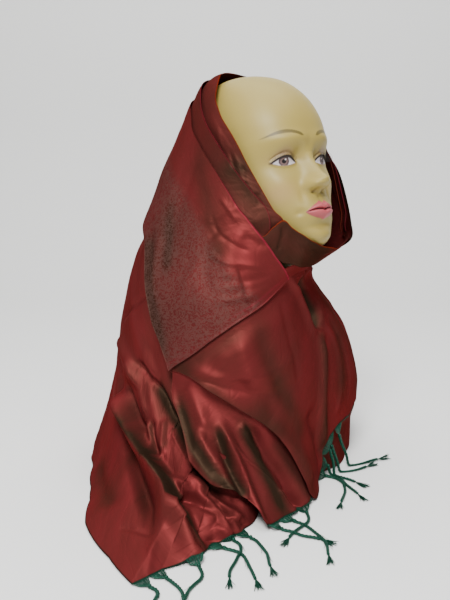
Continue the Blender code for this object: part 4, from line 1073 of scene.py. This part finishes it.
def face_paint(across, up, front):
    """The painted colours of the face, as mixes over the skin."""
    side = np.abs(across)
    face = np.empty(across.shape + (4,))
    face[:] = colour(SKIN)

    def brush(amount, paint):
        """Lays a paint over what is there."""
        amount = (np.clip(amount, 0, 1) * front)[..., None]
        face[:] = face * (1 - amount) + np.array(colour(PAINT[paint])) * amount

    upper, lower = eyelids(across)
    s = (side - EYE["inner"]) / (EYE["outer"] - EYE["inner"])
    brush(0.16 * bell(side, 42, 16) * bell(up, -22, 14), "blush")
    brush(0.55 * bell(side, 32, 14) * bell(up, upper + 5, 5.5) * (up > upper), "eyelid")
    inside = soft(0, 0.5, upper - up) * soft(0, 0.5, up - lower) * (s > 0) * (s < 1)
    brush(inside, "eye white")
    off = np.hypot(side - IRIS["across"], up - IRIS["up"])
    brush(inside * soft(IRIS["radius"] + 0.4, IRIS["radius"] - 0.4, off), "iris rim")
    brush(inside * soft(IRIS["radius"] * 0.86, IRIS["radius"] * 0.5, off) * 0.6, "iris")
    brush(inside * soft(IRIS["pupil"] + 0.4, IRIS["pupil"] - 0.4, off), "pupil")
    off = np.hypot(side - IRIS["across"] + 1.8, up - IRIS["up"] - 2.0)
    brush(inside * soft(1.2, 0.5, off), "glint")
    along = soft(-0.04, 0.04, s) * soft(1.12, 1.0, s)
    brush(along * soft(2.0, 1.0, np.abs(up - upper - 0.4)) * 0.95, "upper lashes")
    brush(along * soft(1.0, 0.3, np.abs(up - lower + 0.3)) * 0.5, "lower lashes")
    brow = 40.5 + 6.2 * np.sin(math.pi * np.clip((side - 10) / 48, 0, 1) ** 0.9)
    thick = 1.8 * soft(9, 14, side) * soft(56, 36, side) + 0.3
    along = soft(9, 11, side) * soft(56, 52, side)
    brush(soft(thick + 0.5, thick - 0.3, np.abs(up - brow)) * along * 0.9, "brow")
    top, line, foot = lips(across)
    mouth = soft(-0.3, 0.5, top - up) * soft(-0.3, 0.5, up - foot) * (side < MOUTH["half"])
    brush(mouth * 0.95, "lips")
    brush(mouth * bell(up, line, 0.9) * 0.8, "mouth line")
    brush(0.6 * bell(side, 6.5, 2.6) * bell(up, -24.8, 1.5), "nostril")
    return face


def make_form(skin):
    """The limbless display form: head, neck and shoulders in one, with a painted face."""
    half_face = math.radians(FACE_HALF)
    behind = np.linspace(half_face, 2 * math.pi - half_face, REST_SIDES + 2)[1:-1]
    angles = np.concatenate([np.linspace(-half_face, half_face, FACE_SIDES), behind])[None]
    places = np.concatenate([np.linspace(0, FACE_ROWS[0], 34)[:-1], np.linspace(*FACE_ROWS, 235),
                             np.linspace(FACE_ROWS[1], len(HEAD) - 1, 30)[1:]])
    up, front, back, half, power = columns(HEAD, HEAD_COLUMNS, places)
    across, forward = oval(front, back, half, power, angles)
    up = up + 0 * across
    forward = forward + face_forward(across, up) * soft(0.15, 0.6, np.cos(angles))
    head = lofted(head_place(across, forward, up), head_place(0.0, -5.0, 139.0),
                  head_place(0.0, 4.0, -97.0), "form_head", skin)
    places = np.linspace(0, len(BUST) - 1, 60)
    height, front, back, half, power = columns(BUST, BUST_COLUMNS, places)
    angles = np.linspace(0, 2 * math.pi, 96, endpoint=False)[None]
    across, forward = oval(front, -back, half, power, angles)
    rings = np.stack([-across, -forward, height + 0 * across], -1)
    bust = lofted(rings, (0.0, 0.0, 0.0), (0.0, 6.0, 345.0), "display_form", skin)
    join = bust.modifiers.new("join", "BOOLEAN")
    join.operation = "UNION"
    join.solver = "EXACT"
    join.object = head
    bpy.context.view_layer.update()
    finished = bust.evaluated_get(bpy.context.evaluated_depsgraph_get())
    joined = bpy.data.meshes.new_from_object(finished)
    bust.modifiers.clear()
    bust.data = joined
    bpy.data.objects.remove(head)
    points = np.empty(3 * len(joined.vertices), np.float32)
    joined.vertices.foreach_get("co", points)
    across, forward, up = head_frame(points.reshape(-1, 3) / MM)
    paint = face_paint(across, up, soft(20, 45, forward))
    attribute = joined.attributes.new("paint", "FLOAT_COLOR", "POINT")
    attribute.data.foreach_set("color", paint.astype(np.float32).ravel())
    return bust


def lofted(rings, first, last, name, mat):
    """A closed body through rings of points, ended by a point at each end."""
    rows, cols = rings.shape[:2]
    points = np.concatenate([rings.reshape(-1, 3), [first], [last]])
    faces = []
    for i in range(rows - 1):
        for j in range(cols):
            k = (j + 1) % cols
            faces.append((i * cols + j, i * cols + k, (i + 1) * cols + k, (i + 1) * cols + j))
    for j in range(cols):
        k = (j + 1) % cols
        faces.append((k, j, rows * cols))
        faces.append(((rows - 1) * cols + j, (rows - 1) * cols + k, rows * cols + 1))
    obj = add_mesh(name, points, faces, mat)
    bm = bmesh.new()
    bm.from_mesh(obj.data)
    bmesh.ops.recalc_face_normals(bm, faces=bm.faces)
    if bm.calc_volume(signed=True) < 0:
        bmesh.ops.reverse_faces(bm, faces=bm.faces)
    bm.to_mesh(obj.data)
    bm.free()
    return obj


def head_surface(across, up):
    """A point on the face at a place across and up, in millimetres of the part's frame."""
    fine = through(np.array(HEAD, float), np.linspace(0, len(HEAD) - 1, 400))
    fine = dict(zip(HEAD_COLUMNS, fine.T))
    front, half, power = [np.interp(-up, -fine["up"], fine[key])
                          for key in ("front", "half_width", "squareness")]
    forward = front * np.clip(1 - np.abs(across / half) ** power, 0, 1) ** (1 / power)
    forward = forward + face_forward(np.asarray(across, float), np.asarray(up, float))
    return head_place(across, forward, up)


def head_way(across, forward, up):
    """A direction in the part's frame from one in the head's own."""
    return head_place(across, forward, up) - head_place(0.0, 0.0, 0.0)


LASHES = 30           # on each upper lid


def make_lashes(lash):
    """Curved lashes on both upper lids, longer towards the outer corner."""
    store = {"points": [], "faces": []}
    rng = np.random.default_rng(5)
    for side in (1, -1):
        for s in np.linspace(0.08, 1.0, LASHES):
            across = side * (EYE["inner"] + s * (EYE["outer"] - EYE["inner"]))
            root = head_surface(across, float(eyelids(np.array(across))[0]) + 0.3)
            length = (4.0 + 4.5 * s) * rng.uniform(0.85, 1.1)
            fan = side * (s - 0.35) * 0.75
            out, rise = head_way(fan, 1.0, 0.0), head_way(fan * 0.3, 0.0, 1.0)
            line = [root, root + out * length * 0.45 - rise * 0.3,
                    root + out * length * 0.85 + rise * length * 0.22,
                    root + out * length + rise * length * 0.6]
            add_thread(store, fine_path(np.array(line), 7), np.linspace(0.24, 0.06, 7), 4)
    return add_mesh("lashes", store["points"], store["faces"], lash)


def colour(hex_value):
    """A linear colour, opaque, from an sRGB hex value."""
    parts = [int(hex_value[k:k + 2], 16) / 255 for k in (1, 3, 5)]
    return (*[c / 12.92 if c <= 0.04045 else ((c + 0.055) / 1.055) ** 2.4 for c in parts], 1.0)


SKIN = "#9A8846"
RUST = "#692728"
# The green weft's colour, which also serves as the painted shade of the silk's hollows and shaded flanks
GREEN_BROWN = "#33251C"
PINK = "#8E2138"
# A painted highlight along the silk's rims next to the face
RIM_HIGHLIGHT = "#8E3218"
FIGURE_GROUND = "#401F1D"
FIGURE_GOLD = "#5C443E"
YARN_GREEN = "#063123"
YARN_SHADE = "#021E17"
YARN_SHEEN = "#2F9A74"
LASH = "#1B1214"
CARD = "#EDEDEB"


def fill(tree, node, inputs):
    """Sets or links a node's sockets."""
    for key, value in inputs.items():
        socket = node.inputs[key]
        if isinstance(value, bpy.types.NodeSocket):
            tree.links.new(value, socket)
        else:
            socket.default_value = value


def add_node(tree, kind, inputs=None, **settings):
    """A node with its settings, its socket values and its links."""
    node = tree.nodes.new(kind)
    for key, value in settings.items():
        setattr(node, key, value)
    fill(tree, node, inputs or {})
    return node


def maths(tree, operation, *values, **settings):
    """A sum, a product or a comparison of values."""
    return add_node(tree, "ShaderNodeMath", dict(enumerate(values)), operation=operation,
                    **settings).outputs[0]


def mottle(tree, place, per_metre, detail, curl=0.0):
    """Uneven clouds of 0 to 1: how many there are to a metre, how finely broken and how curled."""
    return add_node(tree, "ShaderNodeTexNoise", {"Vector": place, "Scale": per_metre, "Detail": detail,
                                                 "Distortion": curl}).outputs["Fac"]


def dye(tree, amount, ground, shade, **settings):
    """A shade over a ground colour, by an amount."""
    return add_node(tree, "ShaderNodeMix", {0: amount, 6: ground, 7: shade}, data_type="RGBA",
                    **settings).outputs[2]


def emboss(tree, height, strength, depth, **over):
    """Fine relief of a depth in metres, over what is already embossed."""
    return add_node(tree, "ShaderNodeBump", {"Height": height, "Strength": strength,
                                             "Distance": depth, **over}).outputs[0]


def new_material(name):
    """A material with the default shader, its node tree and that shader."""
    mat = bpy.data.materials.new(name)
    mat.use_nodes = True
    return mat, mat.node_tree, mat.node_tree.nodes["Principled BSDF"]


def shot_silk():
    """Shot silk satin, woven: a rust red warp crossed by a green weft, so that its shade turns from one to
    the other, and floating threads that give a soft red gloss. The green-brown is also laid on as painted
    shade in hollows and on flanks that face away from the light, and a painted highlight runs along the
    rims next to the face."""
    mat, tree, shader = new_material("shot silk satin")
    uv = add_node(tree, "ShaderNodeUVMap", uv_map="weave").outputs[0]
    turn, edge, rim, hem, figure = [
        add_node(tree, "ShaderNodeAttribute", attribute_name=name).outputs["Fac"]
        for name in ("turn", "edge", "rim", "hem", "figure")]
    # Slubs are 40 mm long and 1.6 mm wide, clouds of the two colours 70 mm
    long = add_node(tree, "ShaderNodeMapping", {"Vector": uv, "Scale": (25.0, 600.0, 1.0)}).outputs[0]
    slub, cloud = mottle(tree, long, 1.0, 3.0), mottle(tree, uv, 14.0, 3.0)
    drift = maths(tree, "MULTIPLY_ADD", cloud, 0.9, -0.36)
    drift = maths(tree, "MULTIPLY_ADD", slub, 0.2, drift)
    # The turn attribute mixes in the green-brown: the weft's colour, and painted shade in hollows and on
    # flanks away from the light
    shot = maths(tree, "ADD", turn, drift, use_clamp=True)
    base = dye(tree, shot, colour(RUST), colour(GREEN_BROWN))
    # The woven figure: curled stems 8 mm apart and finer ones 4 mm apart, under a millimetre wide
    stems = maths(tree, "COMPARE", mottle(tree, uv, 125.0, 1.5, 1.4), 0.5, 0.045)
    curls = maths(tree, "COMPARE", mottle(tree, uv, 240.0, 1.0, 1.0), 0.52, 0.05)
    drawn = maths(tree, "MULTIPLY", maths(tree, "MAXIMUM", stems, curls), figure)
    # Over it the figure, the pink selvages, the painted highlight on the rims next to the face and the
    # hem's green line
    for amount, shade in ((maths(tree, "MULTIPLY", figure, 0.4), FIGURE_GROUND),
                          (maths(tree, "MULTIPLY", drawn, 0.4), FIGURE_GOLD),
                          (edge, PINK), (rim, RIM_HIGHLIGHT), (hem, YARN_SHADE)):
        base = dye(tree, amount, base, colour(shade))
    rough = maths(tree, "MULTIPLY_ADD", slub, 0.08, 0.47)
    rough = maths(tree, "MULTIPLY_ADD", figure, 0.12, rough)
    # Handled silk: soft crumples 30 mm across with sharper creases between them
    crumple = mottle(tree, uv, 32.0, 2.0, 0.8)
    crease = maths(tree, "ABSOLUTE", maths(tree, "ADD", crumple, -0.5))
    crease = maths(tree, "SMOOTH_MIN", crease, 0.12, 0.06)
    handled = emboss(tree, crease, 1.0, 0.0015)
    weave = maths(tree, "MULTIPLY_ADD", drawn, 0.6, slub)
    fill(tree, shader, {"Base Color": base, "Roughness": rough, "Metallic": 0.5,
                        "Specular IOR Level": 0.0, "Specular Tint": (0.42, 0.2, 0.18, 1.0),
                        "Anisotropic": 0.25,
                        "Normal": emboss(tree, weave, 0.3, 0.0003, Normal=handled)})
    return mat


def twisted_silk():
    """Silk yarn, twisted and dyed emerald green: a soft lustre, darker and lighter in uneven clouds."""
    mat, tree, shader = new_material("twisted silk yarn")
    place = add_node(tree, "ShaderNodeTexCoord").outputs["Object"]
    tone = mottle(tree, place, 260.0, 2.0)
    fill(tree, shader, {"Base Color": dye(tree, tone, colour(YARN_SHADE), colour(YARN_GREEN)),
                        "Roughness": 0.45, "Specular Tint": (0.35, 1.0, 0.7, 1.0),
                        "Sheen Weight": 0.15, "Sheen Tint": colour(YARN_SHEEN),
                        "Normal": emboss(tree, tone, 0.3, 0.0003)})
    return mat


def painted_skin():
    """Satin paint, sprayed over moulded plastic: pale yellow-beige, with a brushed-on face."""
    mat, tree, shader = new_material("satin painted plastic")
    paint = add_node(tree, "ShaderNodeAttribute", attribute_name="paint").outputs["Color"]
    place = add_node(tree, "ShaderNodeTexCoord").outputs["Object"]
    cloud, peel = mottle(tree, place, 22.0, 3.0), mottle(tree, place, 700.0, 1.0)
    tint = dye(tree, cloud, (0.94, 0.93, 0.9, 1), (1.03, 1.02, 1.0, 1))
    fill(tree, shader, {"Base Color": dye(tree, 1.0, paint, tint, blend_type="MULTIPLY"),
                        "Roughness": 0.46, "Specular IOR Level": 0.35,
                        "Normal": emboss(tree, peel, 0.05, 0.0003)})
    return mat


def plain(name, shade, roughness):
    """A material of one colour."""
    mat, tree, shader = new_material(name)
    fill(tree, shader, {"Base Color": colour(shade), "Roughness": roughness})
    return mat


# The floor and the sweep behind it, in metres from the part along the view
FLOOR_NEAR, FLOOR_FAR, FLOOR_HALF = -2.2, 1.0, 3.2
SWEEP, BACKDROP_TOP = 0.5, 2.6


def make_stage():
    """A pale floor that sweeps up behind."""
    profile = [(FLOOR_NEAR, 0.0), (FLOOR_FAR, 0.0)]
    profile += [(FLOOR_FAR + SWEEP * math.sin(a), SWEEP - SWEEP * math.cos(a))
                for a in np.linspace(0.1, math.pi / 2, 12)]
    profile += [(FLOOR_FAR + SWEEP, BACKDROP_TOP)]
    yaw = math.radians(VIEW_BEARING)
    points = []
    for ahead, up in profile:
        for right in (-FLOOR_HALF, FLOOR_HALF):
            points.append((right * math.cos(yaw) + ahead * math.sin(yaw),
                           ahead * math.cos(yaw) - right * math.sin(yaw), up))
    faces = [(2 * k, 2 * k + 1, 2 * k + 3, 2 * k + 2) for k in range(len(profile) - 1)]
    add_mesh("backdrop", np.array(points) / MM, faces, plain("pale matt card", CARD, 0.85))


def add_light(name, place, aim, size, power):
    """A soft box: a square area light."""
    light = bpy.data.lights.new(name, "AREA")
    light.size = size
    light.energy = power
    obj = bpy.data.objects.new(name, light)
    obj.location = place
    obj.rotation_euler = (Vector(aim) - Vector(place)).to_track_quat("-Z", "Y").to_euler()
    bpy.context.scene.collection.objects.link(obj)


def make_light():
    """A soft even room, a soft key from the form's right front and a wide ceiling light."""
    world = bpy.data.worlds.new("studio")
    bpy.context.scene.world = world
    world.use_nodes = True
    world.node_tree.nodes["Background"].inputs[0].default_value = (0.95, 0.96, 1.0, 1)
    world.node_tree.nodes["Background"].inputs[1].default_value = 0.3
    add_light("key", (-1.15, -0.95, 1.75), (0, 0, 0.2), 0.7, 66)
    add_light("ceiling", (0.1, 0.1, 2.4), (0, 0, 0.2), 2.2, 55)


# The photograph's view: from the form's right front, a little above its brows
VIEW_BEARING = 41.5
VIEW_PAN = 1.97
VIEW_DOWN = 11.107
VIEW_PLACE = (-0.6958, -0.7864, 0.410)
FOCAL_PIXELS = 815    # for a picture of this many pixels in height
PICTURE_HEIGHT = 600


def make_camera():
    """The photograph's camera, panned a little to the left and looking down."""
    yaw, pan, pitch = math.radians(VIEW_BEARING), math.radians(VIEW_PAN), math.radians(VIEW_DOWN)
    ahead = Vector((math.sin(yaw), math.cos(yaw), 0))
    right = Vector((math.cos(yaw), -math.sin(yaw), 0))
    level = ahead * math.cos(pan) - right * math.sin(pan)
    right = right * math.cos(pan) + ahead * math.sin(pan)
    forward = level * math.cos(pitch) - Vector((0, 0, math.sin(pitch)))
    camera = bpy.data.cameras.new("camera")
    camera.sensor_fit = "VERTICAL"
    camera.sensor_height = 24.0
    camera.lens = camera.sensor_height * FOCAL_PIXELS / PICTURE_HEIGHT
    obj = bpy.data.objects.new("camera", camera)
    turned = Matrix((right, right.cross(forward), -forward)).transposed().to_4x4()
    turned.translation = Vector(VIEW_PLACE)
    obj.matrix_world = turned
    bpy.context.scene.collection.objects.link(obj)
    bpy.context.scene.camera = obj


def finish_piece(obj, slot, *nodes):
    """Makes a piece ride on the root body and hides the imported nodes that it stands for; the slot is not
    used.
    """
    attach(obj, "root")
    if nodes:
        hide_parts(*nodes)


def main():
    """Builds the stage, the form, the silk and its fringe."""
    make_camera()
    make_light()
    make_stage()
    silk, yarn = shot_silk(), twisted_silk()
    finish_piece(make_form(painted_skin()), "form", "form")
    finish_piece(make_lashes(plain("lash fibre", LASH, 0.6)), "form")
    pieces = [make_hood(silk), *make_pleats(silk), make_chin_band(silk), make_under_end(silk)]
    back, *back_hem = make_back_drape(silk)
    end, *end_hem = make_near_end(silk)
    wrap, *wrap_hem = make_front_wrap(silk)
    pieces += [back, end, wrap]
    for piece in pieces:
        finish_piece(piece, "silk", piece.name.removeprefix("silk_"))
    wrap_segments = WRAP_FRINGED[1] - WRAP_FRINGED[0]
    fringes = (("fringe_back", back_hem, BACK_SEGMENTS, BACK_TASSELS, 11),
               ("fringe_end", end_hem, END_FRINGED, END_TASSELS, 12),
               ("fringe_wrap", wrap_hem, wrap_segments, WRAP_TASSELS, 13))
    for name, hem, segments, tassels, seed in fringes:
        finish_piece(make_fringe(name, *hem, segments, tassels, yarn, seed), "fringe", name)


main()
